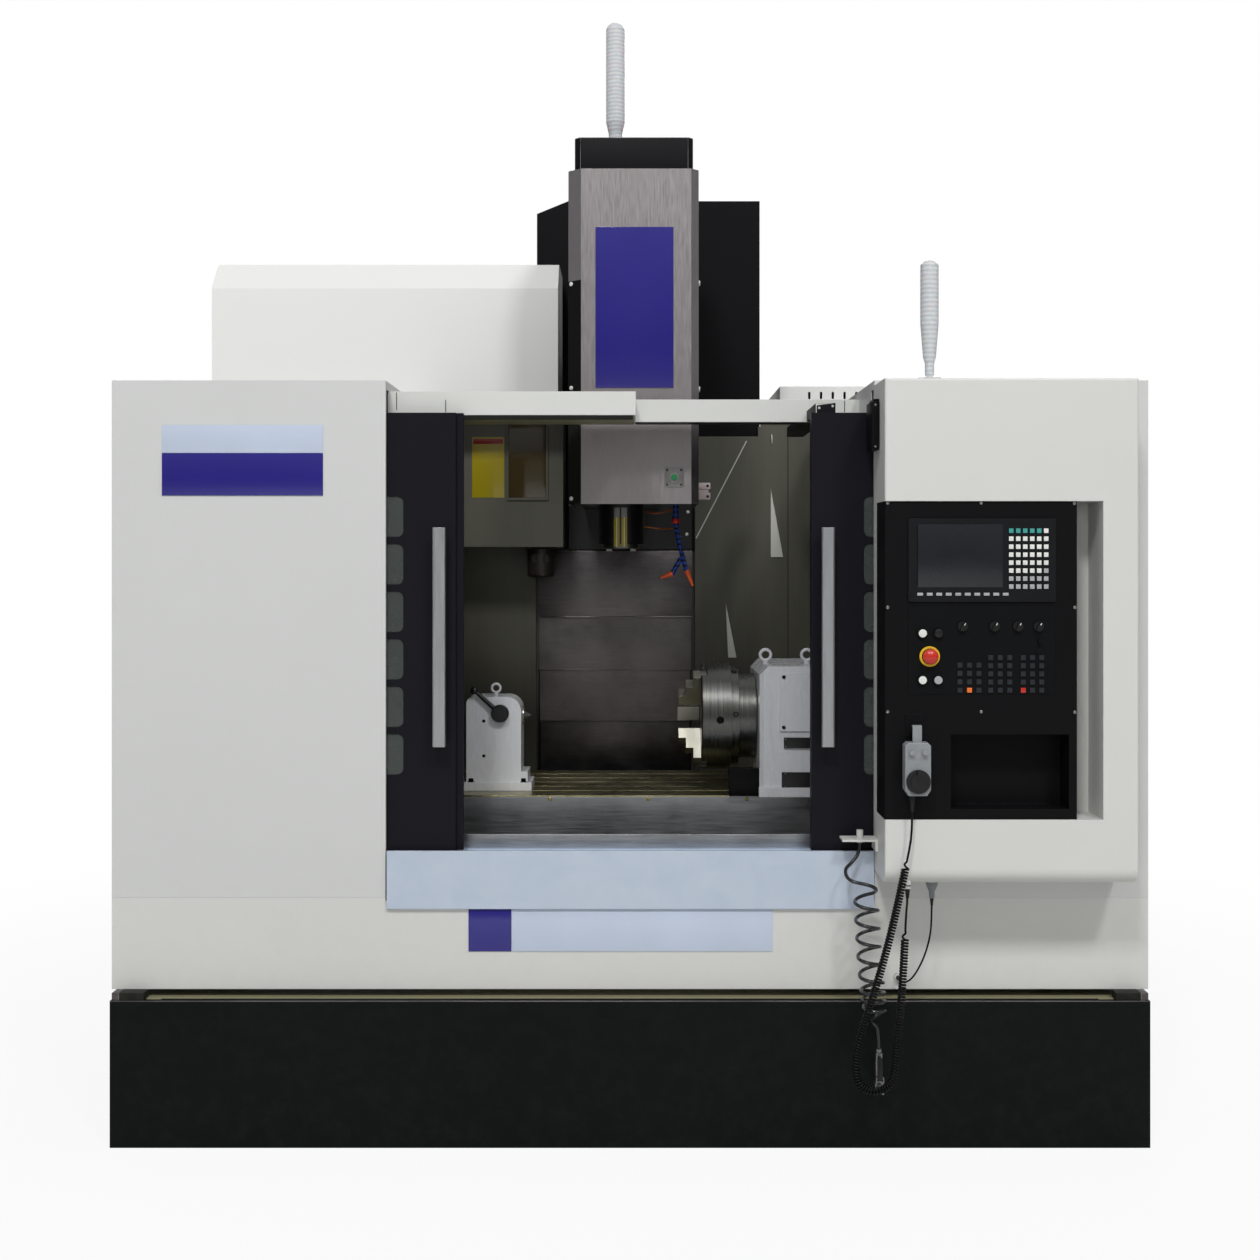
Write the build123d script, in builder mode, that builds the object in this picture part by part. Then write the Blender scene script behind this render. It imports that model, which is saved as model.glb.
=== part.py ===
from build123d import *
import os
from math import asin, cos, radians, sin, tan

os.makedirs("parts", exist_ok=True)

# Vertical machining centre, millimetres, +Z up, +X to the operator's right, +Y into the machine.
# The origin lies on the floor under the middle of the machine's overall box.

# Driving sizes of the enclosure
half_width = 1425.0
front_y = -1050.0
back_y = 700.0
sheet = 3.0
fit = 0.3
skirt_bottom_z = 420.0
seam_z = 671.0
roof_z = 2094.0
opening_left_x = -672.0
opening_right_x = 672.0

# Coolant tank under the enclosure
tank_half_width = half_width - 9.0
tank_front_y = front_y - 49.0
tank_back_y = 560.0
tank_height = 400.0
tank_wall = 4.0
tank_inner_half_width = 656.0
tank_trough = 290.0
tank_rim = 26.0

# Bed, feet and column castings
spindle_x = -28.0
spindle_y = -340.0
bed_front_y = -770.0
bed_half_width = 440.0
bed_top_z = 600.0
foot_height = 60.0
foot_radius = 70.0
column_front_y = 292.0
column_back_y = 880.0
column_boss_y = 420.0
column_x = -53.0
column_half_width = 240.0
column_top_z = 2720.0
rail_width = 45.0
rail_height = 28.0
bed_rail_offset = 290.0
column_rail_offset = 105.0

# Sill, roof headers and doors
sill_front_y = front_y - 10.0
sill_bottom_z = seam_z - 29.0
sill_top_z = seam_z + 130.0
sill_back_y = front_y + 90.0
track_z = sill_top_z - 12.0
door_front_y = front_y + 20.0
door_thick = 40.0
door_width = half_width - 730.0
door_bottom_z = track_z + 8.0
door_top_z = roof_z - 87.0
door_skin = 3.0
door_rim = 26.0
left_door_edge_x = -481.0
right_door_edge_x = 501.0
lip_width = 20.0
pane_height = 111.0
pane_pitch = 131.3
pane_top_z = door_top_z - 232.0
pane_inset = 145.0
pane_far_inset = 220.0
pane_width = door_width - pane_inset - pane_far_inset
pane_corner = 17.0
pane_thick = 5.0
pane_count = 6
handle_width = 36.0
handle_depth = 22.0
handle_length = 600.0
handle_reach = 55.0
handle_bottom_z = door_bottom_z + 292.0
handle_inset = 23.0
header_top_z = roof_z - 24.0
header_height = 66.0
header_gap = 4.0
header_back_y = -672.0
header_right_front_y = header_back_y - 74.0
header_split_x = 16.0
runner_back_y = -116.0

# Guards round the work zone
guard_half_width = half_width - 225.0
guard_back_y = column_front_y - 42.0
guard_front_y = sill_back_y + sheet
guard_top_z = header_top_z - 1.0
magazine_wall_y = 25.0
magazine_wall_right_x = -226.0
soffit_z = 1644.0
guard_notch_left_x = -330.0
guard_notch_right_x = 228.0
slope_outer_z = seam_z + 45.0
slope_inner_z = bed_top_z - 15.0

# Covers above the roof
magazine_left_x = 48.0 - half_width
magazine_right_x = -237.0
magazine_front_y = -125.0
magazine_back_y = 640.0
magazine_top_z = 2588.0
magazine_chamfer = 93.0
cover_left_x = -328.0
cover_right_x = 457.0
cover_front_y = column_front_y - 24.0
cover_back_y = column_back_y + 20.0
cover_top_z = column_top_z + 145.0
cover_step_z = roof_z - 60.0
cover_foot_z = 1640.0
cover_slot_left_x = -205.0
cover_slot_right_x = 150.0

# Electrical cabinet behind the right side
cabinet_left_x = 567.0
cabinet_right_x = half_width - 25.0
cabinet_front_y = back_y + 4.0
cabinet_back_y = 1262.0
cabinet_bottom_z = 430.0
cabinet_top_z = 2256.0
cabinet_door_thick = 28.0

# Operator console
console_left_x = 671.0
console_right_x = 1340.0
console_front_y = front_y - 200.0
console_bottom_z = 745.0
console_top_z = roof_z - 15.0
console_radius = 40.0
recess_right_x = console_right_x - 94.0
recess_bottom_z = 916.0
recess_top_z = 1755.0
recess_back_y = console_front_y + 147.0
box_right_x = recess_right_x - 67.0
box_front_y = console_front_y + 5.0
tray_left_x = console_left_x + 175.0
tray_right_x = box_right_x - 22.0
tray_bottom_z = recess_bottom_z + 27.0
tray_top_z = 1140.0
tray_depth = 95.0
screen_unit_left_x = console_left_x + 62.0
screen_unit_width = 388.0
plate_bottom_z = tray_top_z + 107.0
plate_height = 233.0
screen_unit_bottom_z = plate_bottom_z + plate_height + 10.0
screen_unit_height = 220.0
plate_thick = 4.0
unit_thick = 8.0

# Control plate fittings, placed from the plate's lower left corner
stop_x = screen_unit_left_x + 56.0
stop_z = plate_bottom_z + 99.0
stop_head_radius = 20.0
stop_ring_radius = 26.5
stop_travel = 6.0
selector_z = plate_bottom_z + 178.0
selector_x = tuple(screen_unit_left_x + dx for dx in (143.0, 227.0, 289.0, 343.0))
selector_radius = 13.0
button_offsets = ((37.0, 160.0), (79.0, 160.0), (37.0, 37.0), (78.0, 37.0))
button_radius = 12.0
key_switch_x = screen_unit_left_x + 345.0
key_switch_z = plate_bottom_z + 113.0
toggle_z = key_switch_z + 26.0

# Handwheel pendant and its bracket
pendant_x = console_left_x + 79.0
pendant_width = 68.0
pendant_depth = 42.0
pendant_bottom_z = 985.0
pendant_top_z = 1124.0
pendant_wheel_z = pendant_bottom_z + 38.0
pendant_wheel_radius = 31.5
pendant_gap = 14.0

# Table and saddle
table_left_x = -546.0
table_length = 1200.0
table_front_y = -690.0
table_depth = 600.0
table_top_z = 903.0
table_thick = 90.0
slot_count = 5
slot_pitch = 100.0
slot_width = 18.0
slot_foot_width = 30.0
slot_mouth_depth = 18.0
slot_foot_depth = 14.0
saddle_length = 700.0
saddle_front_y = -640.0
saddle_back_y = -140.0
guard_drop = 165.0

# Tailstock and rotary table with chuck
axis_y = -520.0
axis_z = 1125.0
tail_left_x = -502.0
tail_right_x = -297.0
tail_half_depth = 76.0
tail_base_height = 57.0
tail_body_left_x = -495.0
tail_body_right_x = -329.0
tail_top_z = axis_z + 61.0
quill_radius = 26.0
lever_x = -392.0
lever_z = axis_z + 12.0
lever_hub_radius = 26.5
lever_length = 98.0
housing_left_x = 382.0
housing_right_x = 700.0
housing_half_depth = 205.0
housing_top_z = axis_z + 162.0
housing_chamfer = 25.0
chuck_left_x = 213.0
chuck_radius = 162.0
chuck_length = 90.0
back_plate_radius = 150.0
flange_radius = 128.0
chuck_bore_radius = 42.0
jaw_width = 40.0
jaw_inner = 52.0
jaw_outer = 150.0
jaw_height = 66.0

# Head
head_cover_top_z = 2780.0
head_cover_left_x = -187.0
head_cover_right_x = 208.0
head_face_left_x = -148.0
head_face_right_x = 185.0
head_front_y = -600.0
head_cap_top_z = head_cover_top_z + 100.0
nose_radius = 73.0
nose_bottom_z = 1635.0
nose_top_z = 1776.0
head_cover_bottom_z = nose_top_z - 7.0
taper_mouth_radius = 22.2
taper_depth = 65.0
clamp_x = 133.0
clamp_z = 1849.0

# Telescopic cover below the head
way_front_y = column_front_y - 60.0
way_left_x = -322.0
way_right_x = 217.0
way_top_z = nose_bottom_z - 3.0
way_bottom_z = 864.0
way_seams = (way_top_z - 235.0, way_top_z - 419.0, way_top_z - 599.0)
way_sheet = 2.4
way_pitch = 3.0
way_return = 14.0
way_overlap = 30.0

# Lamps
lamp_x = 798.0
lamp_y = -1195.0
lamp_radius = 24.0
lamp_height = 321.0
post_x = -45.0
post_y = -375.0
post_radius = 30.0
post_top_z = head_cap_top_z + 410.0


def block(x, y, z, mode=Mode.ADD):
    """A rectangular block between two corners, in the part being built."""
    with Locations(((x[0] + x[1]) / 2, (y[0] + y[1]) / 2, (z[0] + z[1]) / 2)):
        Box(x[1] - x[0], y[1] - y[0], z[1] - z[0], mode=mode)


def prism(plane, points, depth, mode=Mode.ADD):
    """A closed outline drawn on a plane and pulled along its normal."""
    with BuildSketch(plane) as section:
        with BuildLine():
            Polyline(*points, close=True)
        make_face()
    extrude(section.sketch, amount=depth, mode=mode)


def folded(plane, points, thickness, depth, side=Side.RIGHT, mode=Mode.ADD):
    """A folded sheet: its line on a plane, thickened to one side and pulled along the normal."""
    with BuildSketch(plane) as section:
        with BuildLine():
            Polyline(*points)
            offset(amount=thickness, side=side, kind=Kind.INTERSECTION)
        make_face()
    extrude(section.sketch, amount=depth, mode=mode)


def rod(plane, radius, depth, mode=Mode.ADD):
    """A round bar that stands on a plane."""
    with BuildSketch(plane) as section:
        Circle(radius)
    extrude(section.sketch, amount=depth, mode=mode)


def facing_front(x, y, z):
    """A plane whose normal points at the operator, with its own x to the right and y up."""
    return Plane(origin=(x, y, z), x_dir=(1, 0, 0), z_dir=(0, -1, 0))


def facing_right(x, y, z):
    """A plane whose normal points along +X, with its own x along +Y and y up."""
    return Plane(origin=(x, y, z), x_dir=(0, 1, 0), z_dir=(1, 0, 0))


def dome(radius, foot, top):
    """An arc from a rim over to the axis, round about a centre on the axis."""
    rise = top - foot
    ball = (radius**2 + rise**2) / (2 * rise)
    half = asin(radius / ball) / 2
    ThreePointArc((radius, foot), (ball * sin(half), top - ball + ball * cos(half)), (0, top))


def save(piece, name):
    """Labels a finished piece and writes it to its own file."""
    piece.part.label = name
    export_step(piece.part, f"parts/{name}.step")


def way_length(index):
    """One length of the telescopic cover, counted from the top: a folded sheet, each inside the last."""
    inset = index * way_pitch
    top_z = (way_top_z, *[seam + way_overlap for seam in way_seams])[index]
    foot_z = (*way_seams, way_bottom_z)[index]
    folded(
        Plane.XY.offset(foot_z),
        (
            (way_left_x + inset, way_front_y + way_return + 2.0),
            (way_left_x + inset, way_front_y + inset),
            (way_right_x - inset, way_front_y + inset),
            (way_right_x - inset, way_front_y + way_return + 2.0),
        ),
        way_sheet,
        top_z - foot_z,
        side=Side.LEFT,
    )


# Coolant tank: a U-shaped open trough with a folded rim, standing on the floor
tank_outline = (
    (-tank_half_width, tank_front_y),
    (tank_half_width, tank_front_y),
    (tank_half_width, tank_back_y),
    (tank_inner_half_width, tank_back_y),
    (tank_inner_half_width, tank_front_y + tank_trough),
    (-tank_inner_half_width, tank_front_y + tank_trough),
    (-tank_inner_half_width, tank_back_y),
    (-tank_half_width, tank_back_y),
)
with BuildPart() as coolant_tank:
    prism(Plane.XY, tank_outline, tank_height)
    for inset, bottom, top in (
        (tank_wall, tank_wall, tank_height - tank_wall),
        (tank_rim, tank_wall, tank_height),
    ):
        with BuildSketch(Plane.XY.offset(bottom)) as hollow:
            with BuildLine():
                Polyline(*tank_outline, close=True)
            make_face()
            offset(amount=-inset, kind=Kind.INTERSECTION)
        extrude(hollow.sketch, amount=top - bottom, mode=Mode.SUBTRACT)
    # a lifting notch in the front rim near each end
    for notch_x in (-tank_half_width + 90.0, tank_half_width - 90.0):
        block(
            (notch_x - 45.0, notch_x + 45.0),
            (tank_front_y + tank_wall, tank_front_y + tank_rim),
            (tank_height - tank_wall, tank_height),
            mode=Mode.SUBTRACT,
        )
save(coolant_tank, "coolant_tank")

# Bed casting: a ribbed base with two ground rails along Y and a rear platform for the column
bed_outline = (
    (spindle_x - bed_half_width, bed_front_y),
    (spindle_x + bed_half_width, bed_front_y),
    (spindle_x + bed_half_width, column_back_y),
    (spindle_x - bed_half_width, column_back_y),
)
bed_pocket_depth = 380.0
bed_pocket_width = 250.0
bed_pocket_count = 3
with BuildPart() as bed_casting:
    prism(Plane.XY.offset(foot_height), bed_outline, bed_top_z - foot_height)
    bed_middle_y = (bed_front_y + column_back_y) / 2
    pocket_pitch = (column_back_y - bed_front_y) / bed_pocket_count
    with Locations(Plane.XY.offset(foot_height)):
        with Locations((spindle_x, bed_middle_y)):
            with GridLocations(2 * bed_half_width - bed_pocket_width - 120.0, pocket_pitch, 2, bed_pocket_count):
                Box(
                    bed_pocket_width,
                    pocket_pitch - 90.0,
                    bed_pocket_depth,
                    align=(Align.CENTER, Align.CENTER, Align.MIN),
                    mode=Mode.SUBTRACT,
                )
    chamfer(bed_casting.faces().sort_by(Axis.Y)[0].edges().filter_by(Axis.Z), 60.0)
    for side in (-1, 1):
        rail_x = spindle_x + side * bed_rail_offset
        block(
            (rail_x - rail_width / 2, rail_x + rail_width / 2),
            (bed_front_y + 20.0, guard_back_y - 20.0),
            (bed_top_z, bed_top_z + rail_height),
        )
save(bed_casting, "bed_casting")

# Levelling feet: a pad, a screw and a lock nut at eight places, as separate solids
foot_rows_y = (bed_front_y + 110.0, -300.0, 250.0, column_back_y - 90.0)
foot_offset_x = bed_half_width - 55.0
with BuildPart() as levelling_feet:
    foot_places = [(spindle_x + side * foot_offset_x, y, 0.0) for side in (-1, 1) for y in foot_rows_y]
    with Locations(*foot_places):
        Cone(foot_radius, foot_radius * 0.8, 22.0, align=(Align.CENTER, Align.CENTER, Align.MIN))
        Cylinder(20.0, foot_height, align=(Align.CENTER, Align.CENTER, Align.MIN))
    with BuildSketch(Plane.XY.offset(30.0)) as nut:
        with Locations(*[(x, y) for x, y, _ in foot_places]):
            RegularPolygon(34.0, 6)
    extrude(nut.sketch, amount=18.0)
save(levelling_feet, "levelling_feet")

# Column casting: a hollow tapered tower with two vertical rails on its front
column_left_x = column_x - column_half_width
column_right_x = column_x + column_half_width
with BuildPart() as column_casting:
    prism(
        facing_right(column_left_x, 0, 0),
        (
            (column_front_y, bed_top_z),
            (column_back_y, bed_top_z),
            (column_back_y - 120.0, column_top_z),
            (column_front_y, column_top_z),
        ),
        2 * column_half_width,
    )
    block(
        (column_left_x + 60.0, column_right_x - 60.0),
        (column_front_y + 90.0, column_back_y),
        (bed_top_z + 180.0, column_top_z - 90.0),
        mode=Mode.SUBTRACT,
    )
    for side in (-1, 1):
        rail_x = spindle_x + side * column_rail_offset
        block(
            (rail_x - rail_width / 2, rail_x + rail_width / 2),
            (column_front_y - rail_height, column_front_y),
            (way_bottom_z + 160.0, column_top_z - 80.0),
        )
    # stand-off bosses for the column's cover
    boss_y = (column_boss_y - 20.0, column_boss_y + 20.0)
    boss_middle_z = (cover_step_z + column_top_z) / 2 - 57.0
    boss_z = (boss_middle_z - 20.0, boss_middle_z + 20.0)
    block((cover_left_x + sheet, column_left_x), boss_y, boss_z)
    block((column_right_x, cover_right_x - sheet), boss_y, boss_z)
save(column_casting, "column_casting")

# Lower front panel: a folded skirt round the front and sides, under the cabinets
panel_gland_x = 735.0
panel_gland_z = 455.0
gland_length = 14.0
with BuildPart() as lower_front_panel:
    folded(
        Plane.XY.offset(skirt_bottom_z),
        (
            (-half_width, back_y),
            (-half_width, front_y),
            (half_width, front_y),
            (half_width, back_y),
        ),
        sheet,
        seam_z - skirt_bottom_z,
        side=Side.LEFT,
    )
    # inward flange along the top, which carries the cabinets
    folded(
        Plane.XY.offset(seam_z - sheet),
        (
            (-half_width + sheet, back_y),
            (-half_width + sheet, front_y + sheet),
            (half_width - sheet, front_y + sheet),
            (half_width - sheet, back_y),
        ),
        30.0,
        sheet,
        side=Side.LEFT,
    )
    block(
        (opening_left_x, opening_right_x),
        (front_y, front_y + 60.0),
        (sill_bottom_z + 20.0, seam_z),
        mode=Mode.SUBTRACT,
    )
    # low brackets that rest on the tank's rim at the front corners and along the sides
    for side in (-1, 1):
        corner_x = sorted((side * (half_width - 20.0), side * (half_width - 100.0)))
        block((corner_x[0], corner_x[1]), (tank_front_y + 4.0, front_y + sheet), (tank_height, skirt_bottom_z))
        flank_x = sorted((side * half_width, side * (tank_half_width - tank_rim + 2.0)))
        for flank_y in (-500.0, 300.0):
            block((flank_x[0], flank_x[1]), (flank_y, flank_y + 80.0), (tank_height, skirt_bottom_z))
    # gland of the console cable
    rod(facing_front(panel_gland_x, front_y, panel_gland_z), 9.0, gland_length)
save(lower_front_panel, "lower_front_panel")

# Sill: a bright front plate, the lower door track behind it and a low splash lip
sill_left_x = -668.0
sill_right_x = 670.0
with BuildPart() as sill_panel:
    folded(
        facing_right(sill_left_x, 0, 0),
        (
            (sill_front_y, sill_bottom_z),
            (sill_front_y, sill_top_z),
            (sill_front_y + 12.0, sill_top_z),
            (sill_front_y + 12.0, track_z),
            (sill_back_y, track_z),
            (sill_back_y, sill_top_z + 30.0),
        ),
        sheet,
        sill_right_x - sill_left_x,
    )
    block(
        (sill_left_x, sill_right_x),
        (sill_front_y + sheet, front_y),
        (sill_bottom_z, sill_bottom_z + 12.0),
    )
    # the track runs on behind the cabinets, under the open doors
    for track_x in ((left_door_edge_x - door_width - 15.0, sill_left_x), (sill_right_x, guard_half_width - 2.0)):
        block(track_x, (front_y + 16.0, guard_front_y), (track_z - sheet, track_z))
save(sill_panel, "sill_panel")

# Cabinets left and right of the door opening: folded shells with a roof, a side and a back
cabinet_back_edge_x = {-1: cover_left_x - 12.0, 1: cover_right_x + 12.0}


def cabinet_shell(side, opening_x):
    """One cabinet: side is -1 on the left and 1 on the right; opening_x is its edge at the doors."""
    fold_side = Side.RIGHT if side < 0 else Side.LEFT
    folded(
        Plane.XY.offset(seam_z),
        (
            (opening_x, front_y + 14.0),
            (opening_x, front_y),
            (side * half_width, front_y),
            (side * half_width, back_y),
            (cabinet_back_edge_x[side], back_y),
        ),
        sheet,
        roof_z - seam_z,
        side=fold_side,
    )
    inner_x = opening_x
    roof_x = sorted((inner_x, side * half_width))
    block((roof_x[0], roof_x[1]), (front_y, back_y), (roof_z - sheet, roof_z))
    rail_x = sorted((inner_x, inner_x + side * sheet))
    block((rail_x[0], rail_x[1]), (front_y, back_y), (header_top_z, roof_z))
    block(
        (rail_x[0], rail_x[1]),
        (door_front_y + door_thick + header_gap, header_back_y),
        (header_top_z - header_height, header_top_z),
    )


with BuildPart() as left_cabinet:
    cabinet_shell(-1, opening_left_x)
save(left_cabinet, "left_cabinet")

with BuildPart() as right_cabinet:
    cabinet_shell(1, opening_right_x)
save(right_cabinet, "right_cabinet")

# Roof headers: two overlapping box beams behind the doors' top edge, and a dark runner across them
header_wall = 3.0
header_bottom_z = header_top_z - header_height
header_front_y = door_front_y + door_thick + header_gap
hanger_x = right_door_edge_x + 43.0
runner_x = (hanger_x - 26.0, hanger_x + 26.0)
runner_bottom_z = header_bottom_z + 2.0
with BuildPart() as roof_headers:
    block((opening_left_x, header_split_x), (header_front_y, header_back_y), (header_bottom_z, header_top_z))
    block(
        (opening_left_x - 1.0, header_split_x - header_wall),
        (header_front_y + header_wall, header_back_y - header_wall),
        (header_bottom_z + header_wall, header_top_z - header_wall),
        mode=Mode.SUBTRACT,
    )
    block(
        (header_split_x - 60.0, opening_right_x),
        (header_right_front_y, header_back_y),
        (header_bottom_z, header_top_z),
    )
    # drip edge under the front of the left beam
    block(
        (opening_left_x + 8.0, header_split_x - 8.0),
        (header_front_y + 2.0, header_front_y + 5.0),
        (header_bottom_z - 12.0, header_bottom_z),
    )
    block(runner_x, (header_front_y, runner_back_y), (runner_bottom_z, runner_bottom_z + 30.0))
save(roof_headers, "roof_headers")

# Inner guards: back wall, side walls, chip slopes, magazine housing walls and the pot's bracket
wall = 3.0
pot_x = -305.0
pot_y = 95.0
pot_pivot_z = 1668.0
pot_radius = 46.0
pot_slot_half = 66.0
seal_width = 30.0
window_x = -347.0
window_width = 126.0
window_height = 250.0
window_z = guard_top_z - 9.0 - window_height / 2
with BuildPart() as inner_guards:
    for side in (-1, 1):
        notch_x = guard_notch_left_x if side < 0 else guard_notch_right_x
        top_z = soffit_z if side < 0 else cover_step_z
        fold_side = Side.LEFT if side < 0 else Side.RIGHT
        folded(
            Plane.XY.offset(slope_outer_z - 6.0),
            (
                (side * guard_half_width, guard_front_y),
                (side * guard_half_width, guard_back_y),
                (notch_x, guard_back_y),
            ),
            wall,
            top_z - slope_outer_z + 6.0,
            side=fold_side,
        )
        # chip slope from the side wall down to the trough beside the bed
        bed_side_x = spindle_x + side * bed_half_width
        inner_x = bed_side_x + side * 1.0
        folded(
            Plane(origin=(0, guard_front_y, 0), x_dir=(1, 0, 0), z_dir=(0, 1, 0)),
            (
                (side * (guard_half_width + wall / 2), -slope_outer_z),
                (inner_x, -slope_inner_z),
            ),
            wall,
            guard_back_y - guard_front_y,
            side=Side.LEFT if side < 0 else Side.RIGHT,
        )
        # flange screwed to the bed's side
        flange_x = sorted((bed_side_x, bed_side_x + side * wall))
        block(
            (flange_x[0], flange_x[1]),
            (bed_front_y + 70.0, guard_back_y),
            (slope_inner_z - 30.0, bed_top_z - 4.0),
        )
    # right of the column's cover the back wall stands higher
    block(
        (cover_right_x - 7.0, guard_half_width),
        (guard_back_y, guard_back_y + wall),
        (cover_step_z, guard_top_z),
    )
    # seal strips behind the edges of the telescopic cover, each on a return of the back wall
    seal_z = (slope_outer_z, cover_foot_z - 4.0)
    for side, notch_x in ((-1, guard_notch_left_x), (1, guard_notch_right_x)):
        return_x = sorted((notch_x, notch_x + side * wall))
        strip_x = sorted((notch_x + side * wall, notch_x - side * seal_width))
        block((return_x[0], return_x[1]), (guard_back_y, cover_front_y), seal_z)
        block((strip_x[0], strip_x[1]), (cover_front_y, cover_front_y + wall), seal_z)
    # front apron that joins the sides behind the sill
    block(
        (-guard_half_width, guard_half_width),
        (guard_front_y, guard_front_y + wall),
        (slope_inner_z, sill_top_z + 8.0),
    )
    # upper walls of the magazine housing, with a step at the soffit
    block(
        (-guard_half_width, magazine_wall_right_x),
        (magazine_wall_y, magazine_wall_y + wall),
        (soffit_z, guard_top_z),
    )
    block(
        (-guard_half_width - wall, magazine_wall_right_x),
        (magazine_wall_y, guard_back_y + wall),
        (soffit_z, soffit_z + wall),
    )
    block(
        (magazine_wall_right_x - wall, magazine_wall_right_x),
        (magazine_wall_y, guard_back_y),
        (soffit_z, guard_top_z),
    )
    block(
        (-guard_half_width - wall, -guard_half_width),
        (guard_front_y, magazine_wall_y + wall),
        (soffit_z, guard_top_z),
    )
    # opening in the soffit that the tool pot swings through
    block(
        (pot_x - pot_slot_half, pot_x + pot_slot_half),
        (pot_y - 62.0, guard_back_y - 12.0),
        (soffit_z - wall, soffit_z + 2 * wall),
        mode=Mode.SUBTRACT,
    )
    for side in (-1, 1):
        ear_x = pot_x + side * (pot_radius + 12.0)
        block(
            (ear_x - 4.0, ear_x + 4.0),
            (magazine_wall_y + wall, pot_y + 20.0),
            (pot_pivot_z - 16.0, pot_pivot_z + 24.0),
        )
        rod(facing_right(ear_x - 4.0, pot_y, pot_pivot_z), 8.05, 8.0, mode=Mode.SUBTRACT)
    # window frame in the magazine wall
    window = facing_front(window_x, magazine_wall_y, window_z)
    with BuildSketch(window) as frame_ring:
        Rectangle(window_width + 16.0, window_height + 16.0)
        Rectangle(window_width, window_height, mode=Mode.SUBTRACT)
    extrude(frame_ring.sketch, amount=6.0)
    # lowest length of the telescopic cover, with its brackets on the column's front
    way_length(3)
    for bracket_x in (column_x - 97.0, column_x + 143.0):
        block(
            (bracket_x - 20.0, bracket_x + 20.0),
            (way_front_y + 3 * way_pitch + 1.0, column_front_y),
            (way_bottom_z + 20.0, way_bottom_z + 80.0),
        )
save(inner_guards, "inner_guards")

# Magazine cover: a closed box with a sloping front top edge
with BuildPart() as magazine_cover:
    prism(
        facing_right(magazine_left_x, 0, 0),
        (
            (magazine_front_y, roof_z),
            (magazine_back_y, roof_z),
            (magazine_back_y, magazine_top_z),
            (magazine_front_y + magazine_chamfer, magazine_top_z),
            (magazine_front_y, magazine_top_z - magazine_chamfer),
        ),
        cover_left_x - 8.0 - magazine_left_x,
    )
    block(
        (cover_left_x - 8.0, magazine_right_x),
        (magazine_front_y, cover_front_y - 30.0),
        (roof_z, magazine_top_z - magazine_chamfer),
    )
    prism(
        facing_right(cover_left_x - 8.0, 0, 0),
        (
            (magazine_front_y, magazine_top_z - magazine_chamfer),
            (cover_front_y - 30.0, magazine_top_z - magazine_chamfer),
            (cover_front_y - 30.0, magazine_top_z),
            (magazine_front_y + magazine_chamfer, magazine_top_z),
        ),
        magazine_right_x - cover_left_x + 8.0,
    )
    # flange that lands on the left cabinet's roof
    block((magazine_left_x - 18.0, magazine_left_x), (magazine_front_y, magazine_back_y), (roof_z, roof_z + 3.0))
save(magazine_cover, "magazine_cover")

# Column cover: a dark shell round the column, slotted in front for the head
with BuildPart() as column_cover:
    prism(
        facing_front(0, cover_back_y, 0),
        (
            (cover_left_x, cover_step_z),
            (cover_left_x, cover_top_z - 45.0),
            (cover_left_x + 110.0, cover_top_z),
            (cover_right_x, cover_top_z),
            (cover_right_x, cover_step_z),
        ),
        cover_back_y - cover_front_y,
    )
    block(
        (cover_left_x + sheet, cover_right_x - sheet),
        (cover_front_y + sheet, cover_back_y - sheet),
        (cover_step_z - 1.0, cover_top_z - 48.0 - sheet),
        mode=Mode.SUBTRACT,
    )
    block(
        (cover_slot_left_x - 30.0, way_right_x),
        (cover_front_y, cover_front_y + sheet),
        (cover_foot_z, cover_step_z + 20.0),
    )
    block(
        (cover_slot_left_x, cover_slot_right_x),
        (cover_front_y - 1.0, cover_front_y + sheet + 1.0),
        (cover_foot_z - 1.0, column_top_z - 60.0),
        mode=Mode.SUBTRACT,
    )
save(column_cover, "column_cover")

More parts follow.
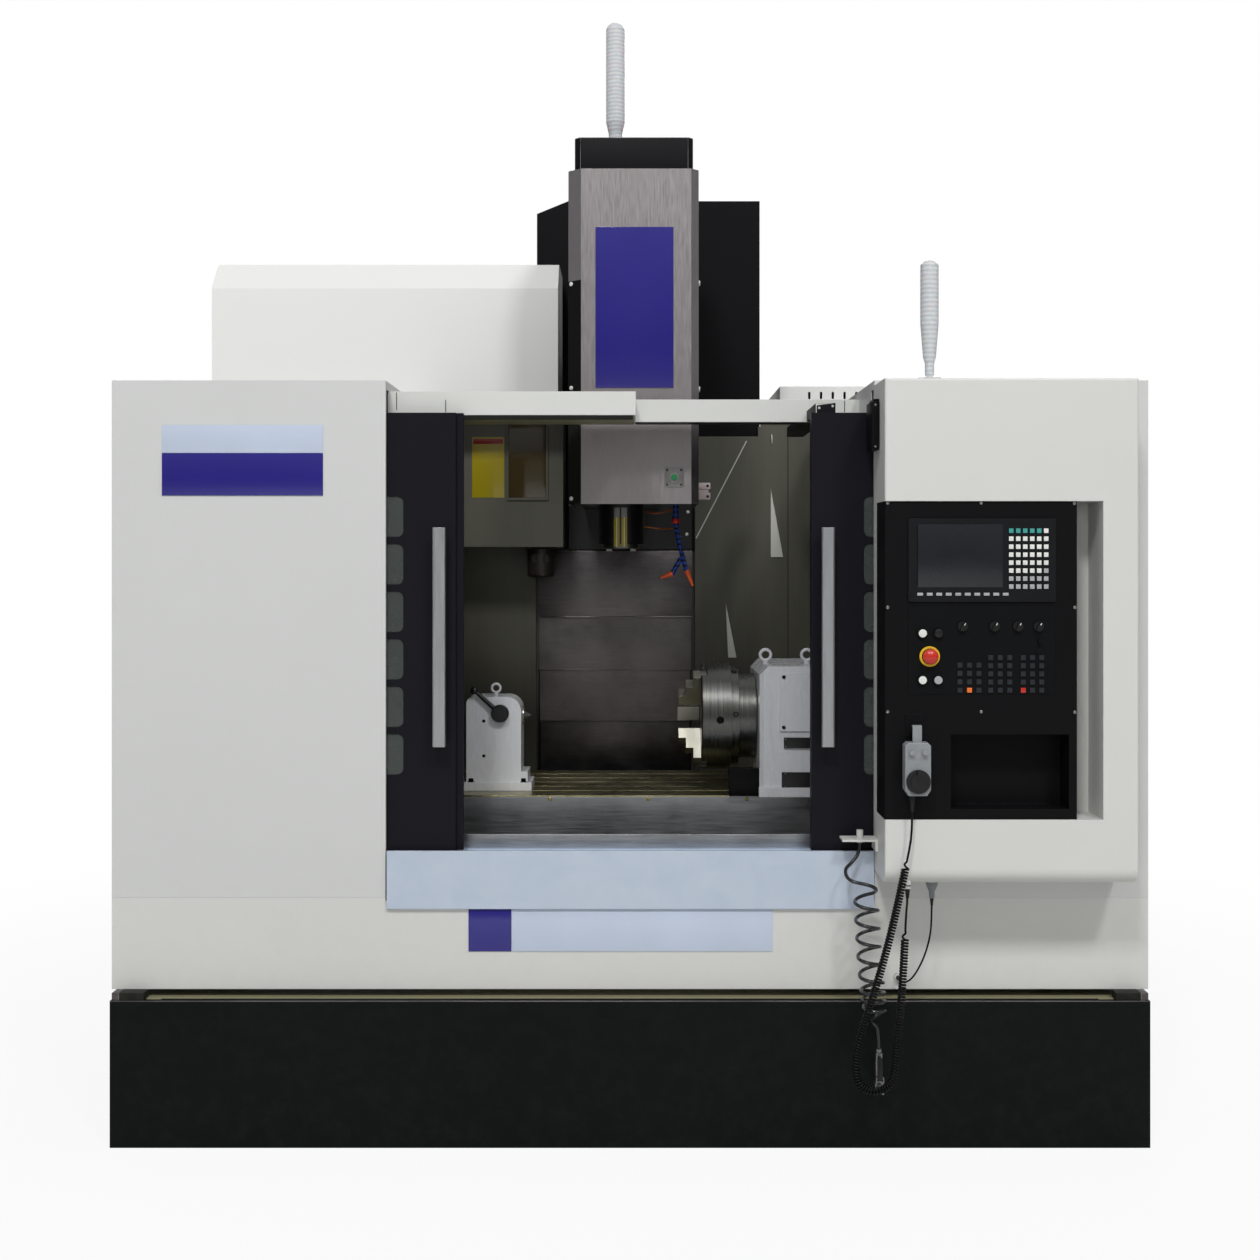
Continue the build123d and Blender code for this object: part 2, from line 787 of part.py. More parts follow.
# Electrical cabinet: an open-backed shell with a mounting plate, vent slots and a hinged door
cabinet_wall = 3.0
vent_count = 5
vent_pitch = 44.5
vent_first_x = 678.0
with BuildPart() as electrical_cabinet:
    block(
        (cabinet_left_x, cabinet_right_x),
        (cabinet_front_y, cabinet_back_y),
        (cabinet_bottom_z, cabinet_top_z),
    )
    block(
        (cabinet_left_x + cabinet_wall, cabinet_right_x - cabinet_wall),
        (cabinet_front_y + cabinet_wall, cabinet_back_y),
        (cabinet_bottom_z + cabinet_wall, cabinet_top_z - cabinet_wall),
        mode=Mode.SUBTRACT,
    )
    # flanged mouth for the door seal
    cabinet_mouth = facing_front(
        (cabinet_left_x + cabinet_right_x) / 2, cabinet_back_y, (cabinet_bottom_z + cabinet_top_z) / 2
    )
    with BuildSketch(cabinet_mouth) as mouth:
        Rectangle(cabinet_right_x - cabinet_left_x - 4.0, cabinet_top_z - cabinet_bottom_z - 4.0)
        Rectangle(cabinet_right_x - cabinet_left_x - 64.0, cabinet_top_z - cabinet_bottom_z - 64.0, mode=Mode.SUBTRACT)
    extrude(mouth.sketch, amount=cabinet_wall)
    with BuildSketch(facing_front(vent_first_x, cabinet_front_y + 10.0, cabinet_top_z - 34.0)) as vents:
        with Locations(*[(i * vent_pitch, 0.0) for i in range(vent_count)]):
            SlotOverall(28.0, 9.0, rotation=90)
    extrude(vents.sketch, amount=20.0, mode=Mode.SUBTRACT)
    # mounting plate on four spacers
    spacer_span_x = cabinet_right_x - cabinet_left_x - 233.0
    spacer_span_z = cabinet_top_z - cabinet_bottom_z - 426.0
    block(
        (cabinet_left_x + 60.0, cabinet_right_x - 60.0),
        (cabinet_front_y + 40.0, cabinet_front_y + 44.0),
        (cabinet_bottom_z + 120.0, cabinet_top_z - 160.0),
    )
    with BuildSketch(cabinet_mouth.offset(cabinet_back_y - cabinet_front_y - 42.0)) as spacers:
        with GridLocations(spacer_span_x, spacer_span_z, 2, 2):
            Circle(10.0)
    extrude(spacers.sketch, amount=40.0)
    # arms that tie the cabinet to the right shell's back
    arm_z = (seam_z + 229.0, seam_z + 289.0)
    block((cabinet_left_x + 40.0, cabinet_left_x + 80.0), (back_y, cabinet_front_y), arm_z)
    block((cabinet_right_x - 80.0, cabinet_right_x - 40.0), (back_y, cabinet_front_y), arm_z)
    # hinge barrels on the outer back edge
    hinge_x = cabinet_right_x + 9.0
    hinge_y = cabinet_back_y - 2.0
    hinge_middle_z = (cabinet_bottom_z + cabinet_top_z) / 2 - 3.0
    hinge_span = (cabinet_top_z - cabinet_bottom_z) / 2 - 333.0
    hinge_z = (hinge_middle_z - hinge_span, hinge_middle_z, hinge_middle_z + hinge_span)
    for z in hinge_z:
        rod(Plane(origin=(hinge_x, hinge_y, z)), 8.0, 60.0)
        block((cabinet_right_x - 1.0, hinge_x), (hinge_y - 5.0, hinge_y), (z, z + 60.0))
save(electrical_cabinet, "electrical_cabinet")

louvre_count = 8
with BuildPart() as electrical_door:
    door_back_y = cabinet_back_y + fit + cabinet_door_thick
    block(
        (cabinet_left_x, cabinet_right_x),
        (cabinet_back_y + fit, door_back_y),
        (cabinet_bottom_z, cabinet_top_z),
    )
    block(
        (cabinet_left_x + 45.0, cabinet_right_x - 45.0),
        (cabinet_back_y - 1.0, door_back_y - 3.0),
        (cabinet_bottom_z + 45.0, cabinet_top_z - 45.0),
        mode=Mode.SUBTRACT,
    )
    # louvres low on the door
    louvre_x = (cabinet_left_x + cabinet_right_x) / 2
    with BuildSketch(facing_front(louvre_x, door_back_y + 1.0, cabinet_bottom_z + 320.0)) as louvres:
        with GridLocations(0, 34.0, 1, louvre_count):
            SlotOverall(320.0, 12.0)
    extrude(louvres.sketch, amount=8.0, mode=Mode.SUBTRACT)
    # hinge knuckles between the cabinet's barrels
    for z in hinge_z:
        rod(Plane(origin=(hinge_x, hinge_y, z + 60.0 + fit)), 8.0, 60.0)
        block(
            (cabinet_right_x - 6.0, hinge_x),
            (hinge_y + 2.0, door_back_y - 8.0),
            (z + 60.0 + fit, z + 120.0 + fit),
        )
    # turn handle
    handle_plane = Plane(
        origin=(cabinet_left_x + 48.0, door_back_y, hinge_middle_z), x_dir=(-1, 0, 0), z_dir=(0, 1, 0)
    )
    with BuildSketch(handle_plane) as handle_plate:
        SlotOverall(150.0, 40.0, rotation=90)
    extrude(handle_plate.sketch, amount=8.0)
    with BuildSketch(handle_plane.offset(8.0)) as handle_bar:
        SlotOverall(110.0, 22.0, rotation=90)
    extrude(handle_bar.sketch, amount=14.0)
save(electrical_door, "electrical_door")

# Console housing: a C-shaped casing whose open side holds the operator box
bracket_y = (-1120.0, front_y)
bracket_z = (836.0, 842.0)
bracket_left_x = 576.0
connector_x = 627.0
connector_y = -1085.0
connector_z = 830.0
gland_x = 734.0
gland_y = -1228.0
socket_x = 812.0
socket_y = -1150.0
socket_height = 10.0
with BuildPart() as console_housing:
    block(
        (console_left_x, console_right_x),
        (console_front_y, front_y),
        (console_bottom_z, console_top_z),
    )
    front_edges = console_housing.faces().sort_by(Axis.Y)[0].edges()
    fillet(front_edges.sort_by(Axis.Z)[0], console_radius)
    front_edges = console_housing.faces().sort_by(Axis.Y)[0].edges()
    fillet(front_edges.filter_by(Axis.Z) + front_edges.filter_by(Axis.X).sort_by(Axis.Z)[-1:], 6.0)
    block(
        (console_left_x - 1.0, recess_right_x),
        (console_front_y - 1.0, recess_back_y),
        (recess_bottom_z, recess_top_z),
        mode=Mode.SUBTRACT,
    )
    # socket boss for the console cable and gland for the pendant cord, on the underside
    rod(Plane(origin=(socket_x, socket_y, console_bottom_z - socket_height)), 17.0, socket_height)
    rod(Plane(origin=(gland_x, gland_y, console_bottom_z - gland_length)), 9.0, gland_length + console_radius)
    # small bracket on the left wall with the air connector through it
    block((bracket_left_x, console_left_x), bracket_y, bracket_z)
    block((console_left_x - 6.0, console_left_x), bracket_y, (810.0, bracket_z[1]))
    rod(Plane(origin=(connector_x, connector_y, connector_z)), 9.0, 34.0)
save(console_housing, "console_housing")

# Operator box: a dark steel box in the console's mouth, with a tray and the pendant's bracket
pendant_front_y = box_front_y - pendant_gap - pendant_depth
lip_front_y = pendant_front_y + 18.0
lip_top_z = pendant_top_z + 40.0
hook_front_y = lip_front_y - 4.0
with BuildPart() as operator_box:
    block((console_left_x, box_right_x), (box_front_y, recess_back_y), (recess_bottom_z, recess_top_z))
    fillet(operator_box.edges().filter_by(Axis.Z).group_by(Axis.Y)[0], 5.0)
    block(
        (tray_left_x, tray_right_x),
        (box_front_y - 1.0, box_front_y + tray_depth),
        (tray_bottom_z, tray_top_z),
        mode=Mode.SUBTRACT,
    )
    # pockets that the display unit and the control plate drop into
    block(
        (screen_unit_left_x, screen_unit_left_x + screen_unit_width),
        (box_front_y - 1.0, box_front_y + 3.0),
        (screen_unit_bottom_z, screen_unit_bottom_z + screen_unit_height),
        mode=Mode.SUBTRACT,
    )
    block(
        (screen_unit_left_x, screen_unit_left_x + screen_unit_width),
        (box_front_y - 1.0, box_front_y + 3.0),
        (plate_bottom_z, plate_bottom_z + plate_height),
        mode=Mode.SUBTRACT,
    )
    # well behind the emergency stop's stem
    rod(facing_front(stop_x, box_front_y + 13.0, stop_z), 9.0, 11.0, mode=Mode.SUBTRACT)
    # bracket: a plate with a fork that the pendant's hook sits on
    bracket_plane = facing_front(pendant_x, box_front_y, lip_top_z + 1.0)
    with BuildSketch(bracket_plane) as bracket_plate:
        RectangleRounded(46.0, 60.0, 6.0)
    extrude(bracket_plate.sketch, amount=4.0)
    lip_x = (pendant_x - 15.0, pendant_x + 15.0)
    block(lip_x, (lip_front_y, box_front_y - 4.0), (lip_top_z - 18.0, lip_top_z - 14.0))
    block(lip_x, (lip_front_y, lip_front_y + 4.0), (lip_top_z - 18.0, lip_top_z))
save(operator_box, "operator_box")

# Display unit: a bezel with a sunk screen, a row of soft keys and a block of data keys
unit_face_y = box_front_y + 3.0 - unit_thick
screen_middle_x = screen_unit_left_x + 118.0
screen_middle_z = screen_unit_bottom_z + 122.0
data_key_columns_count = 6
data_key_rows_count = 8
key_pitch_x = 18.4
key_pitch_z = 21.0
key_first_x = screen_unit_left_x + 270.0
key_first_z = screen_unit_bottom_z + 187.0
soft_key_count = 10
soft_key_pitch = 25.0
soft_key_z = screen_unit_bottom_z + 20.0
with BuildPart() as display_unit:
    block(
        (screen_unit_left_x, screen_unit_left_x + screen_unit_width),
        (unit_face_y, box_front_y + 3.0),
        (screen_unit_bottom_z, screen_unit_bottom_z + screen_unit_height),
    )
    fillet(display_unit.edges().filter_by(Axis.Y), 4.0)
    with BuildSketch(facing_front(screen_middle_x, unit_face_y, screen_middle_z)) as screen:
        RectangleRounded(196.0, 152.0, 3.0)
    extrude(screen.sketch, amount=-2.5, mode=Mode.SUBTRACT)
    with BuildSketch(facing_front(key_first_x, unit_face_y, key_first_z)) as data_keys:
        columns = range(data_key_columns_count)
        rows = range(data_key_rows_count)
        with Locations(*[(i * key_pitch_x, -j * key_pitch_z) for i in columns for j in rows]):
            Rectangle(13.0, 13.0)
    extrude(data_keys.sketch, amount=2.0)
    with BuildSketch(facing_front(screen_middle_x, unit_face_y, soft_key_z)) as soft_keys:
        with GridLocations(soft_key_pitch, 0, soft_key_count, 1):
            Rectangle(15.0, 8.0)
    extrude(soft_keys.sketch, amount=2.0)
save(display_unit, "display_unit")

# Control plate: printed plate with membrane keys and four push buttons in their collars
plate_face_y = box_front_y + 3.0 - plate_thick
key_column_count = 3
key_row_counts = (4, 5, 5)
key_block_offsets = ((161.0, 43.0), (242.0, 53.0), (327.0, 53.0))
key_block_pitches = ((25.0, 22.0), (25.0, 21.5), (24.3, 21.5))
with BuildPart() as control_plate:
    block(
        (screen_unit_left_x, screen_unit_left_x + screen_unit_width),
        (plate_face_y, box_front_y + 3.0),
        (plate_bottom_z, plate_bottom_z + plate_height),
    )
    for rows, (dx, dz), (pitch_x, pitch_z) in zip(key_row_counts, key_block_offsets, key_block_pitches):
        with BuildSketch(facing_front(screen_unit_left_x + dx, plate_face_y, plate_bottom_z + dz)) as keys:
            with GridLocations(pitch_x, pitch_z, key_column_count, rows):
                Rectangle(14.0, 14.0)
        extrude(keys.sketch, amount=1.5)
    for dx, dz in button_offsets:
        button_face = facing_front(screen_unit_left_x + dx, plate_face_y, plate_bottom_z + dz)
        rod(button_face, button_radius + 3.0, 4.0)
        rod(button_face.offset(4.0), button_radius, 5.0)
    # collar of the emergency stop, bored for its stem
    rod(facing_front(stop_x, plate_face_y, stop_z), stop_ring_radius, 5.0)
    rod(facing_front(stop_x, plate_face_y + 8.0, stop_z), 8.05, 20.0, mode=Mode.SUBTRACT)
    for x in selector_x:
        rod(facing_front(x, plate_face_y, selector_z), selector_radius + 2.0, 1.5)
        rod(facing_front(x, plate_face_y + 8.0, selector_z), 4.05, 20.0, mode=Mode.SUBTRACT)
    # key switch and toggle bushing at the right
    rod(facing_front(key_switch_x, plate_face_y, key_switch_z), 9.0, 3.0)
    rod(facing_front(key_switch_x + 2.0, plate_face_y, toggle_z), 6.0, 9.0)
save(control_plate, "control_plate")

# Emergency stop: a mushroom head on a stem
stop_seat = stop_travel + 1.0
with BuildPart() as emergency_stop:
    stop_plane = Plane(origin=(stop_x, plate_face_y - 5.0, stop_z), x_dir=(1, 0, 0), z_dir=(0, 0, -1))
    with BuildSketch(stop_plane) as mushroom:
        with BuildLine():
            Polyline(
                (0, -4.0),
                (8.0, -4.0),
                (8.0, stop_seat),
                (stop_head_radius - 4.0, stop_seat),
                (stop_head_radius, stop_seat + 5.0),
                (stop_head_radius, stop_seat + 11.0),
            )
            dome(stop_head_radius, stop_seat + 11.0, stop_seat + 20.0)
            Line((0, stop_seat + 20.0), (0, -4.0))
        make_face()
    revolve(mushroom.sketch, axis=Axis((stop_x, 0, stop_z), (0, 1, 0)))
save(emergency_stop, "emergency_stop")

# Four rotary selectors: a round skirt with a bar grip across it
for number, x in enumerate(selector_x, start=1):
    with BuildPart() as selector:
        knob_face = facing_front(x, plate_face_y - 1.5 - fit, selector_z)
        rod(knob_face, selector_radius, 5.0)
        with BuildSketch(knob_face.offset(5.0)) as grip:
            SlotOverall(2 * selector_radius - 3.0, 8.0, rotation=60)
        extrude(grip.sketch, amount=10.0)
        rod(knob_face.offset(-5.0), 4.0, 5.0)
    save(selector, f"selector_{number}")

# Handwheel pendant: a rounded hand box with two small knobs, a hook behind it and a wheel
pendant_centre_y = box_front_y - pendant_gap - pendant_depth / 2
with BuildPart() as pendant_body:
    with BuildSketch(facing_front(pendant_x, pendant_front_y + pendant_depth, 0)) as pendant_outline:
        with BuildLine():
            Polyline(
                (-24.0, pendant_bottom_z),
                (-pendant_width / 2, pendant_bottom_z + 16.0),
                (-pendant_width / 2, pendant_top_z - 8.0),
                (-pendant_width / 2 + 8.0, pendant_top_z),
                (pendant_width / 2 - 8.0, pendant_top_z),
                (pendant_width / 2, pendant_top_z - 8.0),
                (pendant_width / 2, pendant_bottom_z + 16.0),
                (24.0, pendant_bottom_z),
                close=True,
            )
        make_face()
    extrude(pendant_outline.sketch, amount=pendant_depth)
    fillet(pendant_body.faces().sort_by(Axis.Y)[0].edges(), 3.0)
    # hook that hangs over the bracket's lip
    hook_x = (pendant_x - 12.0, pendant_x + 12.0)
    block(hook_x, (hook_front_y, hook_front_y + 3.0), (pendant_top_z, lip_top_z + 4.0))
    block(hook_x, (hook_front_y, hook_front_y + 13.0), (lip_top_z, lip_top_z + 4.0))
    block(hook_x, (hook_front_y + 10.0, hook_front_y + 13.0), (lip_top_z - 12.0, lip_top_z + 4.0))
    for dx in (-17.0, 17.0):
        dial_face = facing_front(pendant_x + dx, pendant_front_y, pendant_top_z - 25.0)
        rod(dial_face, 8.5, 3.0)
        rod(dial_face.offset(3.0), 6.5, 9.0)
    rod(Plane(origin=(pendant_x - 12.0, pendant_centre_y, pendant_bottom_z), z_dir=(0, 0, -1)), 6.0, 10.0)
    rod(facing_front(pendant_x, pendant_front_y + 6.0, pendant_wheel_z), 5.05, 10.0, mode=Mode.SUBTRACT)
save(pendant_body, "pendant_body")

with BuildPart() as pendant_wheel:
    wheel_face = facing_front(pendant_x, pendant_front_y - fit, pendant_wheel_z)
    rod(wheel_face, pendant_wheel_radius, 9.0)
    chamfer(pendant_wheel.edges().filter_by(GeomType.CIRCLE), 1.5)
    rod(wheel_face.offset(9.0), 21.0, 3.0)
    with BuildSketch(wheel_face.offset(9.0)) as crank:
        with Locations((0, 23.0)):
            Circle(5.0)
    extrude(crank.sketch, amount=17.0)
    rod(wheel_face.offset(-5.5), 5.0, 5.5)
save(pendant_wheel, "pendant_wheel")

# Signal lamps: a tapered foot and a lit column, one on the console and one on the head
with BuildPart() as console_lamp:
    with BuildSketch(Plane(origin=(lamp_x, lamp_y, console_top_z), x_dir=(1, 0, 0), z_dir=(0, -1, 0))) as profile:
        with BuildLine():
            Polyline(
                (0, 0),
                (30.0, 0),
                (30.0, 6.0),
                (12.0, 12.0),
                (12.0, 44.0),
                (17.0, 62.0),
                (lamp_radius, 150.0),
                (lamp_radius, lamp_height - 14.0),
            )
            dome(lamp_radius, lamp_height - 14.0, lamp_height)
            Line((0, lamp_height), (0, 0))
        make_face()
    revolve(profile.sketch, axis=Axis((lamp_x, lamp_y, 0), (0, 0, 1)))
save(console_lamp, "console_lamp")

with BuildPart() as head_lamp:
    with BuildSketch(Plane(origin=(post_x, post_y, 0), x_dir=(1, 0, 0), z_dir=(0, -1, 0))) as profile:
        with BuildLine():
            Polyline(
                (0, head_cap_top_z),
                (42.0, head_cap_top_z),
                (42.0, head_cap_top_z + 8.0),
                (post_radius - 8.0, head_cap_top_z + 14.0),
                (post_radius - 8.0, head_cap_top_z + 60.0),
                (post_radius, head_cap_top_z + 96.0),
                (post_radius, post_top_z - 22.0),
            )
            dome(post_radius, post_top_z - 22.0, post_top_z)
            Line((0, post_top_z), (0, head_cap_top_z))
        make_face()
    revolve(profile.sketch, axis=Axis((post_x, post_y, 0), (0, 0, 1)))
save(head_lamp, "head_lamp")

# Sliding doors: pressed frames with a column of panes, glide shoes and a bar handle each
first_pane_z = pane_top_z - pane_height / 2
pane_middle_z = first_pane_z - (pane_count - 1) * pane_pitch / 2


def pane_holes(middle_x, y, clearance, thickness, mode=Mode.ADD):
    """The column of rounded panes, or the holes that they sit in."""
    with BuildSketch(facing_front(middle_x, y, pane_middle_z)) as panes:
        with GridLocations(0, pane_pitch, 1, pane_count):
            RectangleRounded(pane_width - 2 * clearance, pane_height - 2 * clearance, pane_corner - clearance)
    extrude(panes.sketch, amount=thickness, mode=mode)


def door_frame(edge_x, side):
    """One door: edge_x is its leading edge, and side is -1 for the left door, +1 for the right."""
    far_x = edge_x + side * door_width
    spread = sorted((edge_x, far_x))
    block((spread[0], spread[1]), (door_front_y, door_front_y + door_thick), (door_bottom_z, door_top_z))
    block(
        (spread[0] + door_rim, spread[1] - door_rim),
        (door_front_y + door_skin, door_front_y + door_thick + 1.0),
        (door_bottom_z + door_rim, door_top_z - door_rim),
        mode=Mode.SUBTRACT,
    )
    pane_x = edge_x + side * (pane_inset + pane_width / 2)
    # backing frame that holds the panes from behind
    with BuildSketch(facing_front(pane_x, door_front_y + door_skin + pane_thick, pane_middle_z)) as backing:
        Rectangle(pane_width + 60.0, pane_count * pane_pitch + 30.0)
    extrude(backing.sketch, amount=pane_thick)
    pane_holes(pane_x, door_front_y + 12.0, 0.0, 20.0, mode=Mode.SUBTRACT)
    # glide shoes that run in the sill's track
    for shoe_x in (edge_x + side * 90.0, far_x - side * 90.0):
        block(
            (shoe_x - 25.0, shoe_x + 25.0),
            (door_front_y + 12.0, door_front_y + door_thick - 12.0),
            (track_z + fit, door_bottom_z),
        )


def door_handle(edge_x, side):
    """A bar handle on two stand-offs, fixed near the door's leading edge."""
    bar_x = edge_x + side * (handle_inset + handle_width / 2)
    bar_front_y = door_front_y - handle_reach
    with BuildSketch(Plane(origin=(bar_x, bar_front_y + handle_depth / 2, handle_bottom_z))) as section:
        RectangleRounded(handle_width, handle_depth, 6.0)
    extrude(section.sketch, amount=handle_length)
    for z in (handle_bottom_z + 60.0, handle_bottom_z + handle_length - 60.0):
        rod(facing_front(bar_x, door_front_y, z), 10.0, handle_reach - handle_depth)


door_sides = (("left", left_door_edge_x, -1), ("right", right_door_edge_x, 1))
for name, edge_x, side in door_sides:
    with BuildPart() as door:
        door_frame(edge_x, side)
        if side < 0:
            # sealing lip on the leading edge
            block(
                (edge_x, edge_x + lip_width),
                (door_front_y + 14.0, door_front_y + 26.0),
                (door_bottom_z, door_top_z),
            )
        else:
            # hanger plate with two holes above the leading corner
            with BuildSketch(facing_front(hanger_x, door_front_y + 22.0, door_top_z)) as hanger:
                with BuildLine():
                    Polyline((-26.0, 0), (-26.0, 22.0), (26.0, 29.0), (26.0, 0), close=True)
                make_face()
                with Locations((-19.0, 15.0), (18.0, 20.0)):
                    Circle(3.5, mode=Mode.SUBTRACT)
            extrude(hanger.sketch, amount=3.0)
    save(door, f"{name}_door")
    with BuildPart() as windows:
        pane_x = edge_x + side * (pane_inset + pane_width / 2)
        pane_holes(pane_x, door_front_y + door_skin + pane_thick - 0.5, 0.2, pane_thick)
    save(windows, f"{name}_door_windows")
    with BuildPart() as handle:
        door_handle(edge_x, side)
    save(handle, f"{name}_door_handle")

# Saddle: a ground casting on the bed's rails, with two cross rails for the table
saddle_top_z = table_top_z - table_thick - rail_height - fit
saddle_bottom_z = bed_top_z + rail_height + fit
saddle_half_length = saddle_length / 2
with BuildPart() as saddle:
    block(
        (spindle_x - saddle_half_length, spindle_x + saddle_half_length),
        (saddle_front_y, saddle_back_y),
        (saddle_bottom_z, saddle_top_z),
    )
    chamfer(saddle.edges().filter_by(Axis.Z), 30.0)
    # deep pocket between the rails for the cross screw
    saddle_middle_y = (saddle_front_y + saddle_back_y) / 2
    block(
        (spindle_x - saddle_half_length - 1.0, spindle_x + saddle_half_length + 1.0),
        (saddle_middle_y - 60.0, saddle_middle_y + 60.0),
        (saddle_top_z - 70.0, saddle_top_z),
        mode=Mode.SUBTRACT,
    )
    for side in (-1, 1):
        rail_y = saddle_middle_y + side * 175.0
        block(
            (spindle_x - saddle_half_length + 30.0, spindle_x + saddle_half_length - 30.0),
            (rail_y - rail_width / 2, rail_y + rail_width / 2),
            (saddle_top_z, saddle_top_z + rail_height),
        )
save(saddle, "saddle")

# Table: a ground casting with T-slots along X
table_right_x = table_left_x + table_length
table_back_y = table_front_y + table_depth
slot_first_y = (table_front_y + table_back_y) / 2 - (slot_count - 1) * slot_pitch / 2
slot_places_y = [slot_first_y + i * slot_pitch for i in range(slot_count)]
with BuildPart() as table:
    block((table_left_x, table_right_x), (table_front_y, table_back_y), (table_top_z - table_thick, table_top_z))
    fillet(table.edges().filter_by(Axis.Z), 8.0)
    for slot_y in slot_places_y:
        with BuildSketch(facing_right(table_left_x - 1.0, slot_y, table_top_z)) as slot:
            with Locations((0, -slot_mouth_depth / 2)):
                Rectangle(slot_width, slot_mouth_depth)
            with Locations((0, -slot_mouth_depth - slot_foot_depth / 2)):
                Rectangle(slot_foot_width, slot_foot_depth)
        extrude(slot.sketch, amount=table_length + 2.0, mode=Mode.SUBTRACT)
    # coolant gutter along each end
    for gutter_x in (table_left_x + 14.0, table_right_x - 14.0):
        block(
            (gutter_x - 6.0, gutter_x + 6.0),
            (table_front_y + 20.0, table_back_y - 20.0),
            (table_top_z - 8.0, table_top_z),
            mode=Mode.SUBTRACT,
        )
save(table, "table")

# Guard sheet hung on the table's front face, with folded ends
with BuildPart() as table_guard:
    folded(
        facing_right(table_left_x, 0, 0),
        (
            (table_front_y, table_top_z - 4.0),
            (table_front_y, table_top_z - guard_drop),
            (table_front_y + 26.0, table_top_z - guard_drop),
        ),
        sheet,
        table_length,
        side=Side.RIGHT,
    )
save(table_guard, "table_guard")

# Tailstock: a flanged body with a rounded head, bored for the quill
tail_front_y = axis_y - tail_half_depth
tail_body_front_y = tail_front_y + 8.0
with BuildPart() as tailstock:
    block(
        (tail_left_x, tail_right_x),
        (tail_front_y, axis_y + tail_half_depth),
        (table_top_z, table_top_z + tail_base_height * 0.45),
    )
    block(
        (tail_body_left_x, tail_right_x - 12.0),
        (tail_body_front_y, axis_y + tail_half_depth - 8.0),
        (table_top_z + tail_base_height * 0.45, table_top_z + tail_base_height),
    )
    with BuildSketch(facing_front((tail_body_left_x + tail_body_right_x) / 2, tail_body_front_y, 0)) as tail_side:
        with BuildLine():
            tail_half = (tail_body_right_x - tail_body_left_x) / 2
            tail_foot = table_top_z + tail_base_height
            Line((-tail_half, tail_foot), (tail_half, tail_foot))
            Line((tail_half, tail_foot), (tail_half, tail_top_z - 42.0))
            ThreePointArc(
                (tail_half, tail_top_z - 42.0),
                (tail_half - 13.0, tail_top_z - 13.0),
                (tail_half - 42.0, tail_top_z),
            )
            Line((tail_half - 42.0, tail_top_z), (-tail_half + 20.0, tail_top_z))
            ThreePointArc(
                (-tail_half + 20.0, tail_top_z),
                (-tail_half + 6.0, tail_top_z - 6.0),
                (-tail_half, tail_top_z - 20.0),
            )
            Line((-tail_half, tail_top_z - 20.0), (-tail_half, tail_foot))
        make_face()
    extrude(tail_side.sketch, amount=-(2 * tail_half_depth - 16.0))
    # quill bore, split clamp above it and the threaded holes of the front face
    rod(facing_right(tail_body_right_x - 130.0, axis_y, axis_z), quill_radius + 0.05, 140.0, mode=Mode.SUBTRACT)
    rod(facing_front(lever_x, tail_body_front_y + 20.0, lever_z), 8.05, 21.0, mode=Mode.SUBTRACT)
    for hole_z in (1113.0, 1008.0):
        rod(facing_front(tail_left_x + 60.0, tail_body_front_y + 10.0, hole_z), 5.0, 11.0, mode=Mode.SUBTRACT)
    # clamp studs with nuts on the base flange
    for stud_x in (tail_left_x + 22.0, tail_right_x - 24.0):
        for stud_y in (tail_front_y + 15.0, axis_y + tail_half_depth - 15.0):
            with BuildSketch(Plane(origin=(stud_x, stud_y, table_top_z + tail_base_height * 0.4))) as nut:
                RegularPolygon(9.0, 6)
            extrude(nut.sketch, amount=10.0)
    # lifting eye
    rod(Plane(origin=(tail_left_x + 92.0, axis_y, tail_top_z - 4.0)), 7.0, 14.0)
    with Locations(Location((tail_left_x + 92.0, axis_y, tail_top_z + 22.0), (90, 0, 0))):
        Torus(13.0, 4.0)
save(tailstock, "tailstock")

with BuildPart() as tailstock_quill:
    rod(facing_right(tail_body_right_x - 118.0, axis_y, axis_z), quill_radius, 124.0)
    with Locations(Location((tail_body_right_x + 6.0, axis_y, axis_z), (0, 90, 0))):
        Cone(14.0, 1.0, 22.0, align=(Align.CENTER, Align.CENTER, Align.MIN))
save(tailstock_quill, "tailstock_quill")

# Clamping lever: a hub with a stub in the body and a tapered bar with a ball end
lever_angle = 138.0
lever_reach_x = cos(radians(lever_angle))
lever_reach_z = sin(radians(lever_angle))
lever_face_y = tail_body_front_y - fit
with BuildPart() as tailstock_lever:
    rod(facing_front(lever_x, lever_face_y, lever_z), lever_hub_radius, 22.0)
    chamfer(tailstock_lever.edges().sort_by(Axis.Y)[0], 3.0)
    rod(facing_front(lever_x, lever_face_y + 18.0, lever_z), 8.0, 18.0)
    bar_plane = Plane(
        origin=(lever_x, lever_face_y - 12.0, lever_z), z_dir=(lever_reach_x, 0, lever_reach_z)
    )
    with BuildSketch(bar_plane) as bar_foot:
        Circle(8.0)
    with BuildSketch(bar_plane.offset(lever_length)) as bar_tip:
        Circle(5.5)
    loft([bar_foot.sketch.face(), bar_tip.sketch.face()])
    with Locations(bar_plane.offset(lever_length + 6.0)):
        Sphere(12.0)
save(tailstock_lever, "tailstock_lever")

